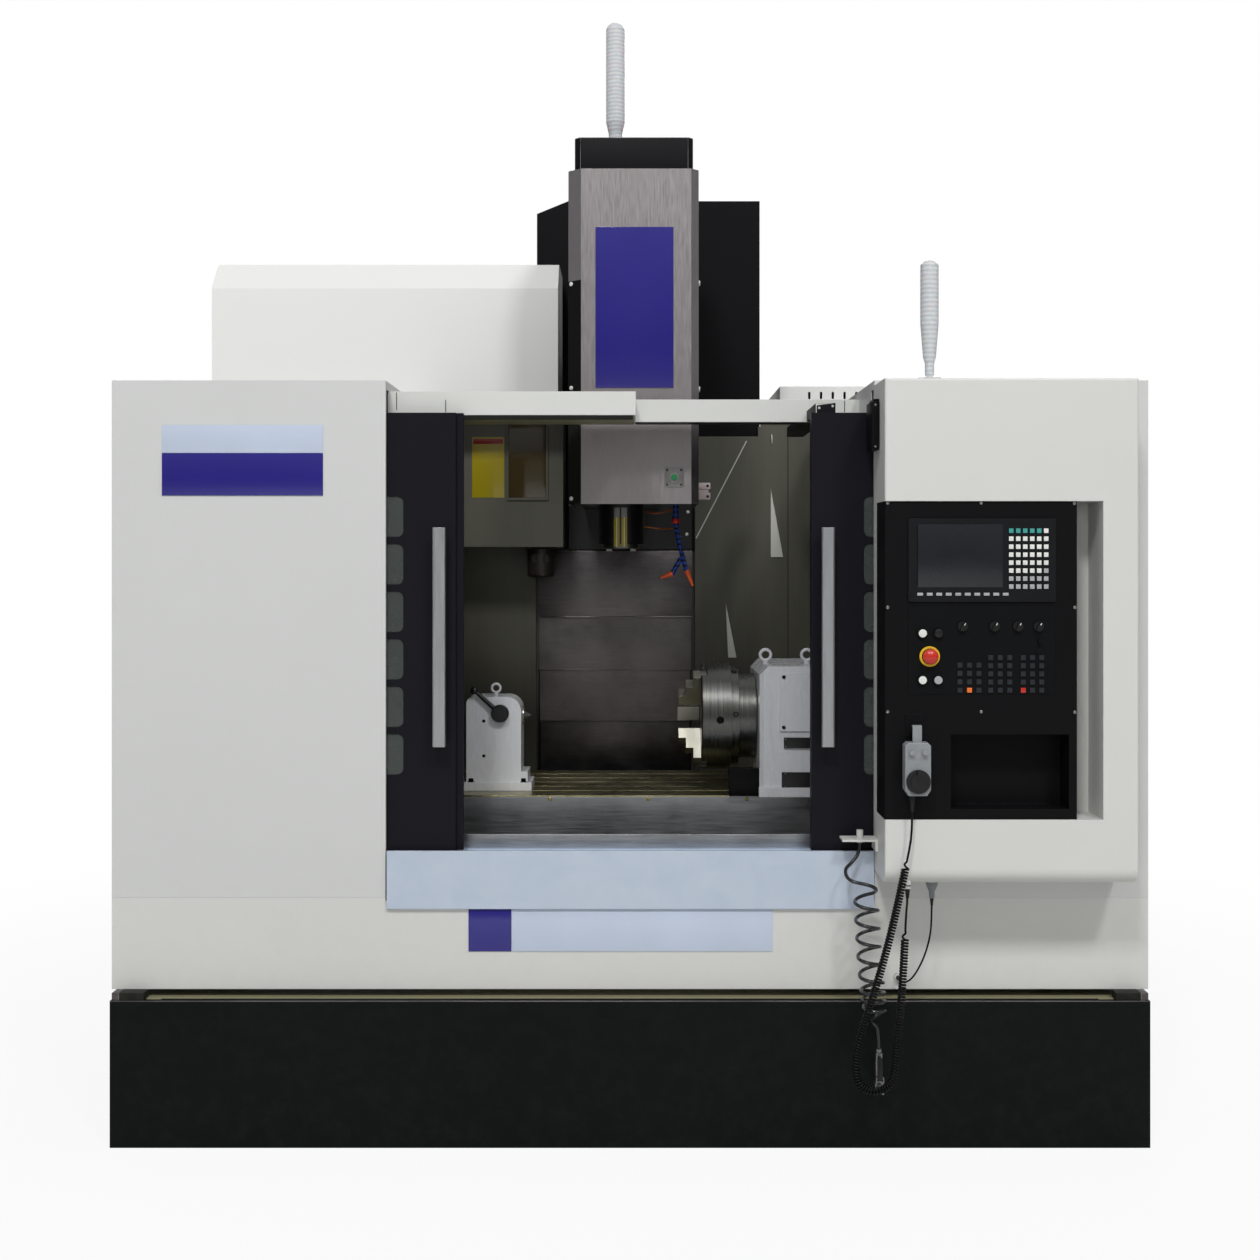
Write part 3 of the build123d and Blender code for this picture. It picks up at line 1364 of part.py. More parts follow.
# Rotary table housing: a chamfered box on a flange, bored on the left for the chuck's spindle
housing_front_y = axis_y - housing_half_depth
spigot_radius = 60.0
with BuildPart() as rotary_housing:
    block(
        (housing_left_x, housing_right_x),
        (housing_front_y, axis_y + housing_half_depth),
        (table_top_z, housing_top_z),
    )
    chamfer(rotary_housing.edges().filter_by(Axis.Y).group_by(Axis.Z)[-1], housing_chamfer)
    chamfer(rotary_housing.edges().filter_by(Axis.Z), 12.0)
    block(
        (housing_left_x - 3.0, housing_right_x + 4.0),
        (housing_front_y - 8.0, axis_y + housing_half_depth + 8.0),
        (table_top_z, table_top_z + 28.0),
    )
    with BuildSketch(facing_front(565.0, housing_front_y, 1182.0)) as cover_pad:
        RectangleRounded(250.0, 172.0, 8.0)
    extrude(cover_pad.sketch, amount=5.0)
    rod(facing_right(housing_left_x - 1.0, axis_y, axis_z), spigot_radius + 0.05, 26.0, mode=Mode.SUBTRACT)
    # clamp lug on the table in front of the chuck
    block(
        (housing_left_x - 90.0, housing_left_x),
        (housing_front_y + 10.0, housing_front_y + 36.0),
        (table_top_z, table_top_z + 82.0),
    )
    for eye_x in (410.0, 535.0):
        rod(Plane(origin=(eye_x, axis_y - 60.0, housing_top_z - 4.0)), 9.0, 14.0)
        with Locations(Location((eye_x, axis_y - 60.0, housing_top_z + 26.0), (90, 0, 0))):
            Torus(16.0, 5.0)
    # brake and encoder cap on the right
    rod(facing_right(housing_right_x, axis_y, axis_z), 110.0, 22.0)
save(rotary_housing, "rotary_housing")

# Chuck: body, back plate and flange turned as one stack about the cross axis, slotted for three jaws
chuck_axis = Axis((0, axis_y, axis_z), (1, 0, 0))
chuck_section = facing_front(0, axis_y, axis_z)
chuck_back_x = chuck_left_x + chuck_length
jaw_slot_depth = 20.0
jaw_angles = (0.0, 120.0, 240.0)


def jaw_plane(angle):
    """Lies across a jaw: own x along the machine's X, own y outwards along the jaw's travel."""
    outward = (0, cos(radians(angle)), sin(radians(angle)))
    across = (0, -outward[2], outward[1])
    return Plane(origin=(0, axis_y, axis_z), x_dir=(1, 0, 0), z_dir=across)


with BuildPart() as rotary_chuck:
    with BuildSketch(chuck_section) as chuck_profile:
        with BuildLine():
            Polyline(
                (chuck_left_x, chuck_bore_radius),
                (chuck_left_x, chuck_radius - 4.0),
                (chuck_left_x + 4.0, chuck_radius),
                (chuck_back_x, chuck_radius),
                (chuck_back_x, back_plate_radius),
                (chuck_back_x + 24.0, back_plate_radius),
                (chuck_back_x + 24.0, flange_radius),
                (housing_left_x - 3.0 - fit, flange_radius),
                (housing_left_x - 3.0 - fit, spigot_radius),
                (housing_left_x + 20.0, spigot_radius),
                (housing_left_x + 20.0, chuck_bore_radius),
                close=True,
            )
        make_face()
    revolve(chuck_profile.sketch, axis=chuck_axis)
    for angle in jaw_angles:
        slot_half = jaw_width / 2 + fit
        with BuildSketch(jaw_plane(angle).offset(-slot_half)) as jaw_slot:
            with Locations((chuck_left_x + jaw_slot_depth / 2, (chuck_bore_radius + chuck_radius + 10.0) / 2)):
                Rectangle(jaw_slot_depth, chuck_radius + 10.0 - chuck_bore_radius)
        extrude(jaw_slot.sketch, amount=2 * slot_half, mode=Mode.SUBTRACT)
        # key socket in the rim between two jaws
        socket_angle = radians(angle + 60.0)
        socket_face = Plane(
            origin=(chuck_left_x + 55.0, axis_y, axis_z),
            x_dir=(1, 0, 0),
            z_dir=(0, cos(socket_angle), sin(socket_angle)),
        )
        rod(socket_face.offset(chuck_radius - 30.0), 11.0, 40.0, mode=Mode.SUBTRACT)
save(rotary_chuck, "rotary_chuck")

# Three stepped jaws, each seated in its slot
step_count = 3
for number, angle in enumerate(jaw_angles, start=1):
    jaw_tip_x = chuck_left_x - jaw_height
    step_radial = (jaw_outer - jaw_inner) / step_count
    step_axial = jaw_height / step_count
    profile = [(chuck_left_x + jaw_slot_depth - fit, jaw_inner)]
    for step in range(step_count):
        step_x = jaw_tip_x + step * step_axial
        profile.append((step_x, jaw_inner + step * step_radial))
        profile.append((step_x, jaw_inner + (step + 1) * step_radial))
    profile.append((chuck_left_x + jaw_slot_depth - fit, jaw_outer))
    with BuildPart() as jaw:
        prism(jaw_plane(angle).offset(-jaw_width / 2), profile, jaw_width)
    save(jaw, f"chuck_jaw_{number}")

# Head casting: carriage on the column rails, gearbox body, motor and the spindle's cartridge
head_half_width = 130.0
gearbox_front_y = spindle_y - 130.0
gearbox_top_z = (nose_top_z + head_cover_top_z) / 2 + 22.0
motor_radius = 98.0
motor_height = head_cover_top_z - 100.0 - gearbox_top_z
carriage_back_y = column_front_y - rail_height - fit
cartridge_bore = 45.0
cartridge_foot_z = nose_bottom_z + 15.0
nozzle_x = 146.0
nozzle_y = -300.0
with BuildPart() as head_casting:
    block(
        (spindle_x - head_half_width, spindle_x + head_half_width),
        (gearbox_front_y, carriage_back_y),
        (nose_top_z, gearbox_top_z),
    )
    chamfer(head_casting.faces().sort_by(Axis.Y)[0].edges().filter_by(Axis.Z), 40.0)
    block(
        (way_left_x + 107.0, way_right_x),
        (way_front_y + way_pitch, carriage_back_y),
        (way_top_z, nose_top_z + 60.0),
    )
    rod(Plane(origin=(spindle_x, spindle_y, cartridge_foot_z)), nose_radius, nose_top_z - cartridge_foot_z)
    chamfer(head_casting.faces().filter_by(Plane.XY).sort_by(Axis.Z)[0].outer_wire().edges(), 6.0)
    rod(
        Plane(origin=(spindle_x, spindle_y, cartridge_foot_z - 1.0)),
        cartridge_bore + 0.05,
        280.0,
        mode=Mode.SUBTRACT,
    )
    # spindle motor above the gearbox
    rod(Plane(origin=(spindle_x, spindle_y, gearbox_top_z)), motor_radius, motor_height)
    # arms that carry the cover's sides and top
    for arm_z in (nose_top_z + 184.0, gearbox_top_z - 60.0):
        block((head_cover_left_x + sheet, head_cover_right_x - sheet), (-300.0, -240.0), (arm_z, arm_z + 30.0))
    # bracket of the coolant manifold
    block(
        (spindle_x + head_half_width - 1.0, nozzle_x + 14.0),
        (nozzle_y - 20.0, nozzle_y + 20.0),
        (nose_top_z, nose_top_z + 24.0),
    )
save(head_casting, "head_casting")

# Head cover: a folded stainless casing, its top cap and the first length of the telescopic cover
cover_rear_y = -120.0
with BuildPart() as head_cover:
    folded(
        Plane.XY.offset(head_cover_bottom_z),
        (
            (head_cover_left_x, cover_rear_y),
            (head_cover_left_x, head_front_y + 39.0),
            (head_face_left_x, head_front_y),
            (head_face_right_x, head_front_y),
            (head_cover_right_x, head_front_y + 23.0),
            (head_cover_right_x, cover_rear_y),
        ),
        sheet,
        head_cover_top_z - head_cover_bottom_z,
        side=Side.LEFT,
    )
    # top cap with a bevelled edge
    cap_left_x = head_cover_left_x + 20.0
    cap_right_x = head_cover_right_x - 17.0
    cap_front_y = head_front_y + 22.0
    cap_outline = (
        (cap_left_x, cover_rear_y),
        (cap_left_x, cap_front_y + 18.0),
        (cap_left_x + 17.0, cap_front_y),
        (cap_right_x - 15.0, cap_front_y),
        (cap_right_x, cap_front_y + 16.0),
        (cap_right_x, cover_rear_y),
    )
    block(
        (head_cover_left_x + sheet + 2.0, head_cover_right_x - sheet - 2.0),
        (head_front_y + 26.0, cover_rear_y),
        (head_cover_top_z - 3.0, head_cover_top_z),
    )
    block(
        (head_face_left_x + 4.0, head_face_right_x - 4.0),
        (head_front_y + sheet, head_front_y + 30.0),
        (head_cover_top_z - 3.0, head_cover_top_z),
    )
    block(
        (head_cover_left_x + sheet, head_cover_right_x - sheet),
        (cover_rear_y - 60.0, cover_rear_y),
        (head_cover_top_z - 3.0, head_cover_top_z),
    )
    prism(Plane.XY.offset(head_cover_top_z), cap_outline, head_cap_top_z - head_cover_top_z)
    # collar plate of the clamp button
    with BuildSketch(facing_front(clamp_x, head_front_y, clamp_z)) as clamp_plate:
        RectangleRounded(55.0, 57.0, 4.0)
    extrude(clamp_plate.sketch, amount=2.0)
    rod(facing_front(clamp_x, head_front_y - 2.0, clamp_z), 14.0, 4.0)
    rod(facing_front(clamp_x, head_front_y + 10.0, clamp_z), 9.8, 20.0, mode=Mode.SUBTRACT)
    # seat at the back of the collar, bored for the button's stem
    rod(facing_front(clamp_x, head_front_y + sheet + 4.0, clamp_z), 14.0, 4.0)
    rod(facing_front(clamp_x, head_front_y + sheet + 5.0, clamp_z), 5.05, 6.0, mode=Mode.SUBTRACT)
    # top length of the telescopic cover, with the flange that screws under the carriage
    way_length(0)
    block(
        (way_left_x, way_right_x),
        (way_front_y, way_front_y + way_return + 2.0),
        (way_top_z - way_sheet, way_top_z),
    )
save(head_cover, "head_cover")

with BuildPart() as clamp_button:
    rod(facing_front(clamp_x, head_front_y - 4.0, clamp_z), 9.5, 6.0)
    fillet(clamp_button.edges().sort_by(Axis.Y)[0], 1.5)
    rod(facing_front(clamp_x, head_front_y + 9.0, clamp_z), 5.0, 13.0)
save(clamp_button, "clamp_button")

# Spindle: a shaft with a flanged nose, two drive keys and the tapered tool socket
with BuildPart() as spindle:
    rod(Plane(origin=(spindle_x, spindle_y, nose_bottom_z)), 58.0, 15.0 - fit)
    chamfer(spindle.edges().filter_by(GeomType.CIRCLE).sort_by(Axis.Z)[0], 3.0)
    rod(Plane(origin=(spindle_x, spindle_y, nose_bottom_z)), cartridge_bore, 265.0)
    with BuildSketch(Plane(origin=(spindle_x, spindle_y, nose_bottom_z))) as mouth:
        Circle(taper_mouth_radius)
    extrude(mouth.sketch, amount=taper_depth, taper=8.297, mode=Mode.SUBTRACT)
    for side in (-1, 1):
        key_x = spindle_x + side * 38.0
        block((key_x - 9.0, key_x + 9.0), (spindle_y - 7.9, spindle_y + 7.9), (nose_bottom_z - 7.0, nose_bottom_z + 2.0))
save(spindle, "spindle")

# Coolant nozzles: a manifold with a collar and two runs of jointed hose, each ending in a tapered tip


def jointed_run(start, end, joints):
    """Straight run of jointed hose: a bar with one swelling for each joint."""
    run = Vector(*end) - Vector(*start)
    pitch = run.length / joints
    plane = Plane(origin=start, z_dir=run)
    section = Plane(origin=start, x_dir=plane.x_dir, z_dir=plane.y_dir)
    up = 1 if section.y_dir.dot(run) > 0 else -1
    with BuildSketch(section) as outline:
        with BuildLine():
            edge = [(0.0, 0.0)]
            for joint in range(joints):
                edge.append((6.5, up * joint * pitch))
                edge.append((9.0, up * (joint + 0.45) * pitch))
                edge.append((6.5, up * (joint + 0.95) * pitch))
            edge.append((6.5, up * run.length))
            edge.append((0.0, up * run.length))
            Polyline(*edge, close=True)
        make_face()
    revolve(outline.sketch, axis=Axis(start, run))


def nozzle_tip(start, end):
    """Tapered tip from a wide foot to a narrow mouth."""
    run = Vector(*end) - Vector(*start)
    plane = Plane(origin=start, z_dir=run)
    with BuildSketch(plane) as foot:
        Circle(9.0)
    with BuildSketch(plane.offset(run.length)) as tip:
        Circle(3.5)
    loft([foot.sketch.face(), tip.sketch.face()])


collar_top_z = nose_top_z - 38.0
collar_foot_z = collar_top_z - 22.0
hose_a = (
    (nozzle_x, nozzle_y, collar_foot_z),
    (nozzle_x + 14.0, nozzle_y, collar_foot_z - 76.0),
    (nozzle_x + 34.0, nozzle_y, collar_foot_z - 150.0),
)
hose_b = ((nozzle_x + 14.0, nozzle_y, collar_foot_z - 116.0), (nozzle_x - 12.0, nozzle_y, collar_foot_z - 160.0))
with BuildPart() as coolant_nozzles:
    rod(Plane(origin=(nozzle_x, nozzle_y, collar_top_z)), 9.0, nose_top_z - collar_top_z)
    rod(Plane(origin=(nozzle_x, nozzle_y, collar_foot_z)), 12.0, collar_top_z - collar_foot_z)
    jointed_run(hose_a[0], hose_a[1], 6)
    jointed_run(hose_a[1], hose_a[2], 6)
    jointed_run(hose_b[0], hose_b[1], 4)
    with Locations(hose_a[1], hose_b[0], hose_b[1], hose_a[2]):
        Sphere(9.0)
    nozzle_tip(hose_a[2], (nozzle_x + 54.0, nozzle_y, collar_foot_z - 198.0))
    nozzle_tip(hose_b[1], (nozzle_x - 48.0, nozzle_y, collar_foot_z - 173.0))
save(coolant_nozzles, "coolant_nozzles")

# Two middle lengths of the telescopic cover, which slide between the head's and the fixed one
for index in (1, 2):
    with BuildPart() as way_cover:
        way_length(index)
    save(way_cover, f"way_cover_{index + 1}")

# Tool pot: a turned pot on a cross pin that swings down through the soffit
pot_foot_z = 1541.0
with BuildPart() as tool_pot:
    rod(Plane(origin=(pot_x, pot_y, pot_foot_z)), pot_radius, 96.0)
    fillet(tool_pot.edges().filter_by(GeomType.CIRCLE).sort_by(Axis.Z)[0], 12.0)
    rod(Plane(origin=(pot_x, pot_y, pot_foot_z - 1.0)), 22.5, 70.0, mode=Mode.SUBTRACT)
    # two finger windows in the front of the pot
    for dx in (-20.0, 20.0):
        block(
            (pot_x + dx - 9.0, pot_x + dx + 9.0),
            (pot_y - pot_radius - 1.0, pot_y - pot_radius + 22.0),
            (pot_foot_z + 52.0, pot_foot_z + 78.0),
            mode=Mode.SUBTRACT,
        )
    block((pot_x - 30.0, pot_x + 30.0), (pot_y - 12.0, pot_y + 12.0), (pot_foot_z + 94.0, pot_pivot_z))
    rod(facing_right(pot_x - 62.0, pot_y, pot_pivot_z), 8.0, 124.0)
    rod(facing_right(pot_x - 34.0, pot_y, pot_pivot_z), 14.0, 68.0)
save(tool_pot, "tool_pot")

# Cords: plain round tubes along straight runs, each corner rounded as far as its runs allow


def corner_radii(route):
    """Largest radius that each corner's two runs leave room for."""
    points = [Vector(*point) for point in route]
    runs = [end - start for start, end in zip(points, points[1:])]
    radii = []
    for before, after in zip(runs, runs[1:]):
        half_turn = radians(before.get_angle(after)) / 2
        radii.append(0.45 * min(before.length, after.length) / tan(half_turn))
    return radii


def cord(route, radius, label):
    """One stretch of cord as a solid tube; prints its corner radii in cord diameters."""
    radii = corner_radii(route)
    with BuildLine() as path:
        FilletPolyline(*route, radius=radii)
    with BuildSketch(Plane(origin=path.line @ 0, z_dir=path.line % 0)) as section:
        Circle(radius)
    sweep(section.sketch, path=path.wire())
    print(
        label,
        "radii in diameters",
        [round(value / (2 * radius), 1) for value in radii],
        "length",
        round(path.wire().length, 1),
    )


def save_cord(piece, name):
    """Writes a cord's node and prints its volume, to compare with section times length."""
    print(name, "volume", round(piece.part.volume))
    save(piece, name)


lead_radius = 3.0
coil_radius = 11.0
pendant_lead = (
    (pendant_x - 12.0, pendant_centre_y, pendant_bottom_z - 10.0),
    (pendant_x - 12.0, pendant_centre_y, 921.0),
    (735.2, pendant_centre_y, 867.1),
    (725.0, pendant_centre_y, 817.0),
)
pendant_loop = (
    (725.0, pendant_centre_y, 817.0),
    (691.0, pendant_centre_y, 650.0),
    (640.0, pendant_centre_y, 470.0),
    (592.0, pendant_centre_y, 322.0),
    (590.0, pendant_centre_y, 241.0),
    (620.0, pendant_centre_y, 211.0),
    (662.0, pendant_centre_y, 212.0),
    (692.0, pendant_centre_y, 242.0),
    (697.0, pendant_centre_y, 323.0),
    (713.0, pendant_centre_y, 480.0),
    (720.0, pendant_centre_y, 633.0),
)
pendant_tail = (
    (720.0, pendant_centre_y, 633.0),
    (721.4, pendant_centre_y, 663.6),
    (726.0, -1264.0, 688.0),
    (gland_x, gland_y, 700.0),
    (gland_x, gland_y, console_bottom_z - gland_length),
)
with BuildPart() as pendant_cord:
    cord(pendant_lead, lead_radius, "pendant lead")
    cord(pendant_tail, lead_radius, "pendant tail")
save_cord(pendant_cord, "pendant_cord")
with BuildPart() as pendant_cord_coil:
    cord(pendant_loop, coil_radius, "pendant coil")
save_cord(pendant_cord_coil, "pendant_cord_coil")

# Console cable: a tapered plug under the console and a thin lead to the lower panel's gland
plug_length = 45.0
plug_top_z = console_bottom_z - socket_height
cable_radius = 2.5
console_route = (
    (socket_x, socket_y, plug_top_z - plug_length),
    (socket_x, socket_y, 648.0),
    (809.0, socket_y, 590.0),
    (791.0, -1148.0, 526.0),
    (762.0, -1140.0, 470.0),
    (742.0, -1112.0, 452.0),
    (735.0, -1088.0, 455.0),
    (panel_gland_x, front_y - gland_length, panel_gland_z),
)
with BuildPart() as console_plug:
    with BuildSketch(Plane(origin=(socket_x, socket_y, 0), x_dir=(1, 0, 0), z_dir=(0, -1, 0))) as plug_profile:
        with BuildLine():
            Polyline(
                (0, plug_top_z),
                (16.0, plug_top_z),
                (16.0, plug_top_z - 8.0),
                (7.5, plug_top_z - 28.0),
                (7.5, plug_top_z - plug_length + 3.0),
                (5.0, plug_top_z - plug_length),
                (0, plug_top_z - plug_length),
                close=True,
            )
        make_face()
    revolve(plug_profile.sketch, axis=Axis((socket_x, socket_y, 0), (0, 0, 1)))
save(console_plug, "console_plug")
with BuildPart() as console_cable:
    cord(console_route, cable_radius, "console cable")
save_cord(console_cable, "console_cable")

# Air hose: a lead from the bracket, a wide coil and a short tail to the blow gun
hose_radius = 5.0
hose_coil_radius = 36.5
coil_y = -1150.0
gun_x = 669.5
gun_top_z = 285.0
hose_lead = (
    (connector_x, connector_y, connector_z),
    (connector_x, connector_y, 802.0),
    (604.0, -1096.0, 776.0),
    (580.0, -1116.0, 760.0),
    (588.0, -1152.0, 736.0),
    (633.0, -1160.0, 729.0),
    (655.0, coil_y, 702.6),
)
hose_coil = (
    (635.0, coil_y, 698.0),
    (641.0, coil_y, 570.0),
    (652.0, coil_y, 440.0),
    (666.0, coil_y, 335.0),
)
hose_tail = (
    (666.0, coil_y, 335.0),
    (gun_x, coil_y, 308.75),
    (gun_x, coil_y, gun_top_z),
)
with BuildPart() as air_hose:
    cord(hose_lead, hose_radius, "hose lead")
    cord(hose_tail, hose_radius, "hose tail")
save_cord(air_hose, "air_hose")
with BuildPart() as air_hose_coil:
    cord(hose_coil, hose_coil_radius, "hose coil")
save_cord(air_hose_coil, "air_hose_coil")

# Blow gun: it hangs by its inlet, with a grip, a valve head, a nozzle and a lever on a cross pin
grip_front_y = coil_y - 12.0
lever_pin_y = grip_front_y - 7.0
lever_pin_z = 208.0
lever_pin_radius = 2.5
with BuildPart() as blow_gun:
    rod(Plane(origin=(gun_x, coil_y, gun_top_z - 12.0)), 8.0, 12.0)
    with BuildSketch(Plane(origin=(gun_x, coil_y, 190.0))) as grip:
        RectangleRounded(20.0, 24.0, 6.0)
    extrude(grip.sketch, amount=gun_top_z - 10.0 - 190.0)
    block((gun_x - 11.0, gun_x + 11.0), (grip_front_y, coil_y + 14.0), (178.0, 206.0))
    for side in (-1, 1):
        lug_x = sorted((gun_x + side * 8.0, gun_x + side * 11.0))
        block((lug_x[0], lug_x[1]), (lever_pin_y - 6.0, grip_front_y), (198.0, lever_pin_z + 6.0))
    rod(facing_right(gun_x - 11.0, lever_pin_y, lever_pin_z), lever_pin_radius, 22.0)
    rod(facing_front(gun_x, grip_front_y, 188.0), 7.0, 16.0)
    rod(facing_front(gun_x, grip_front_y - 16.0, 188.0), 3.5, 50.0)
save(blow_gun, "blow_gun")

with BuildPart() as blow_gun_trigger:
    rod(facing_right(gun_x - 7.7, lever_pin_y, lever_pin_z), 4.5, 15.4)
    block((gun_x - 7.0, gun_x + 7.0), (lever_pin_y - 4.0, lever_pin_y - 1.0), (lever_pin_z, lever_pin_z + 58.0))
    rod(facing_right(gun_x - 8.0, lever_pin_y, lever_pin_z), lever_pin_radius + 0.05, 16.0, mode=Mode.SUBTRACT)
save(blow_gun_trigger, "blow_gun_trigger")
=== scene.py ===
# %% [markdown]
# # A vertical machining centre, dressed for the camera
#
# The solid model of this machine already has every casing, slide and fitting at its true
# size. This notebook gives those solids their finishes, and adds what a solid model leaves
# out: screws, coloured keys, blank name plates, panes, coiled cords and the studio around
# them. Everything is in metres, in the frame of the solid model.

import math

import bmesh
import bpy
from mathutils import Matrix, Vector


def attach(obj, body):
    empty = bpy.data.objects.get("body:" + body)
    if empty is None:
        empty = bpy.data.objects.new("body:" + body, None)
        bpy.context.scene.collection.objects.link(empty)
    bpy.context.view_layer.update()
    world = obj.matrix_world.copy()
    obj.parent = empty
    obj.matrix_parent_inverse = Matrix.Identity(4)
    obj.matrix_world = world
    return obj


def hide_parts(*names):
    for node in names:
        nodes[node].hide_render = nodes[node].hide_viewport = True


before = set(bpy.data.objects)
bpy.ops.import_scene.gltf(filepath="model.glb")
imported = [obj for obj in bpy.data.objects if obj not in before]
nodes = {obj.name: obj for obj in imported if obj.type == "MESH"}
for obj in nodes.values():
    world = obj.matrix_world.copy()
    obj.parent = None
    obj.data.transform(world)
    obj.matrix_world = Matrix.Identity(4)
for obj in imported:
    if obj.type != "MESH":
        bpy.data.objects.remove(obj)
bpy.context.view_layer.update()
print("pieces in the solid model:", len(nodes))

# %% [markdown]
# ## Three small helpers
#
# Colours are written as a designer writes them, as sRGB hex. Blender's shaders work on
# linear light, so one function turns the one into the other. A second function adds a
# shader node with its settings and its links in one go. Sizes are easier to read in
# millimetres, so a third turns them into metres.

# %% Colour, node and length helpers
def srgb(code):
    """A hex colour as linear red, green, blue and alpha."""
    values = [int(code[i : i + 2], 16) / 255 for i in (1, 3, 5)]
    return [v / 12.92 if v <= 0.04045 else ((v + 0.055) / 1.055) ** 2.4 for v in values] + [1.0]


def node(tree, kind, inputs=None, **settings):
    """Adds a shader node. Its inputs take numbers, hex colours, links or whole nodes."""
    made = tree.nodes.new("ShaderNode" + kind)
    for key, value in settings.items():
        setattr(made, key, value)
    for key, value in (inputs or {}).items():
        socket = made.inputs[key]
        if isinstance(value, bpy.types.Node):
            # a whole node stands for its first output
            value = value.outputs[0]
        if isinstance(value, bpy.types.NodeSocket):
            tree.links.new(value, socket)
        elif isinstance(value, str):
            socket.default_value = srgb(value)[: len(socket.default_value)]
        else:
            socket.default_value = value
    return made


def mm(*values):
    """Millimetres as metres: a number for one value, a vector for three."""
    metres = [value / 1000 for value in values]
    return metres[0] if len(metres) == 1 else Vector(metres)


print("mid grey #808080 is", round(srgb("#808080")[0], 3), "in linear light")

# %% [markdown]
# ## The camera and the studio
#
# The machine is seen square on from 5.7 m in front of it, at 1.6 m above the floor. The
# lens points level, and the frame is shifted down a little, as an architect's camera is,
# so that the machine's uprights stay upright.

# %% Camera
PHOTO_PIXELS = 1260
FOCAL_PIXELS = 1700
HORIZON_PIXEL = 560
SENSOR_MM = 36
EYE = (0, -5.725, 1.6)
lens = bpy.data.cameras.new("camera")
lens.sensor_width = SENSOR_MM
lens.lens = SENSOR_MM * FOCAL_PIXELS / PHOTO_PIXELS
lens.shift_y = (HORIZON_PIXEL - PHOTO_PIXELS / 2) / PHOTO_PIXELS
camera = bpy.data.objects.new("camera", lens)
camera.location = EYE
camera.rotation_euler = (math.pi / 2, 0, 0)
bpy.context.collection.objects.link(camera)
bpy.context.scene.camera = camera
print("focal length in mm:", round(lens.lens, 1), "shift:", round(lens.shift_y, 4))

# %% Floor
# the floor takes soft shadows near the machine and glows white further out
FLOOR_EDGE = 60
SHADOWS_TO_WHITE = (1.6, 4.5)
corners = [(x * FLOOR_EDGE, y * FLOOR_EDGE, 0) for x, y in ((-1, -1), (1, -1), (1, 1), (-1, 1))]
floor_mesh = bpy.data.meshes.new("floor")
floor_mesh.from_pydata(corners, [], [(0, 1, 2, 3)])
floor = bpy.data.objects.new("floor", floor_mesh)
bpy.context.collection.objects.link(floor)
concrete = bpy.data.materials.new("pale_studio_floor")
concrete.use_nodes = True
tree = concrete.node_tree
tree.nodes.clear()
camera_ray = node(tree, "LightPath").outputs["Is Camera Ray"]
matt = node(tree, "BsdfDiffuse", {"Color": "#DADAD8"})
glow = node(tree, "Emission", {"Color": "#FFFFFF", "Strength": 1.0})
point = node(tree, "NewGeometry").outputs["Position"]
reach = node(tree, "VectorMath", {0: point}, operation="LENGTH").outputs["Value"]
near, far = SHADOWS_TO_WHITE
soft_step = {"interpolation_type": "SMOOTHSTEP"}
fade = node(tree, "MapRange", {0: reach, 1: near, 2: far, 3: 0.9, 4: 1.0}, **soft_step)
share = node(tree, "Math", {0: camera_ray, 1: fade}, operation="MULTIPLY")
mixed = node(tree, "MixShader", {0: share, 1: matt, 2: glow})
node(tree, "OutputMaterial", {"Surface": mixed})
floor_mesh.materials.append(concrete)
print("floor is", 2 * FLOOR_EDGE, "m wide")

# %% Surround
# the camera sees plain white; lit faces and mirrors see a sky that is dimmer lower down
bpy.context.scene.view_settings.view_transform = "Standard"
world = bpy.data.worlds.new("studio")
bpy.context.scene.world = world
world.use_nodes = True
tree = world.node_tree
tree.nodes.clear()
path = node(tree, "LightPath").outputs
seen_rays = {0: path["Is Camera Ray"], 1: path["Is Transmission Ray"]}
seen = node(tree, "Math", seen_rays, operation="ADD")
aim = node(tree, "TexCoord").outputs["Generated"]
upward = node(tree, "SeparateXYZ", {0: aim}).outputs["Z"]
skies = []
for colour, top, low, high in (("#F6F7F8", 0.9, 0.15, 0.43), ("#F4F6F8", 0.8, 0.12, 0.65)):
    strength = node(tree, "MapRange", {0: upward, 1: -0.1, 2: top, 3: low, 4: high})
    skies.append(node(tree, "Background", {"Color": colour, "Strength": strength}))
white = node(tree, "Background", {"Color": "#FFFFFF", "Strength": 1.0})
lit = node(tree, "MixShader", {0: path["Is Glossy Ray"], 1: skies[0], 2: skies[1]})
mixed = node(tree, "MixShader", {0: seen, 1: lit, 2: white})
node(tree, "OutputWorld", {"Surface": mixed})
print("a pale surround")

# %% Light
def soft_box(name, place, aim_height, size, watts):
    """A square studio light that points at a height above the frame's origin."""
    data = bpy.data.lights.new(name, "AREA")
    data.size = size
    data.energy = watts
    lamp = bpy.data.objects.new(name, data)
    lamp.location = place
    run = Vector((0, 0, aim_height)) - Vector(place)
    lamp.rotation_euler = run.to_track_quat("-Z", "Y").to_euler()
    bpy.context.collection.objects.link(lamp)
    return lamp


soft_box("key_light", (-2.1, -10.2, 11.4), 1.2, 1.8, 700)
soft_box("fill_light", (4.5, -10.2, 11.4), 1.2, 1.8, 570)
soft_box("back_light", (2.0, 6.0, 5.5), 1.5, 4.0, 150)
front = soft_box("front_light", (0, -8.5, 3.0), 1.3, 2.5, 43)
# the front light lifts the deep work zone, but shows in no polished face
front.visible_glossy = False
print("soft boxes:", len(bpy.data.lights))

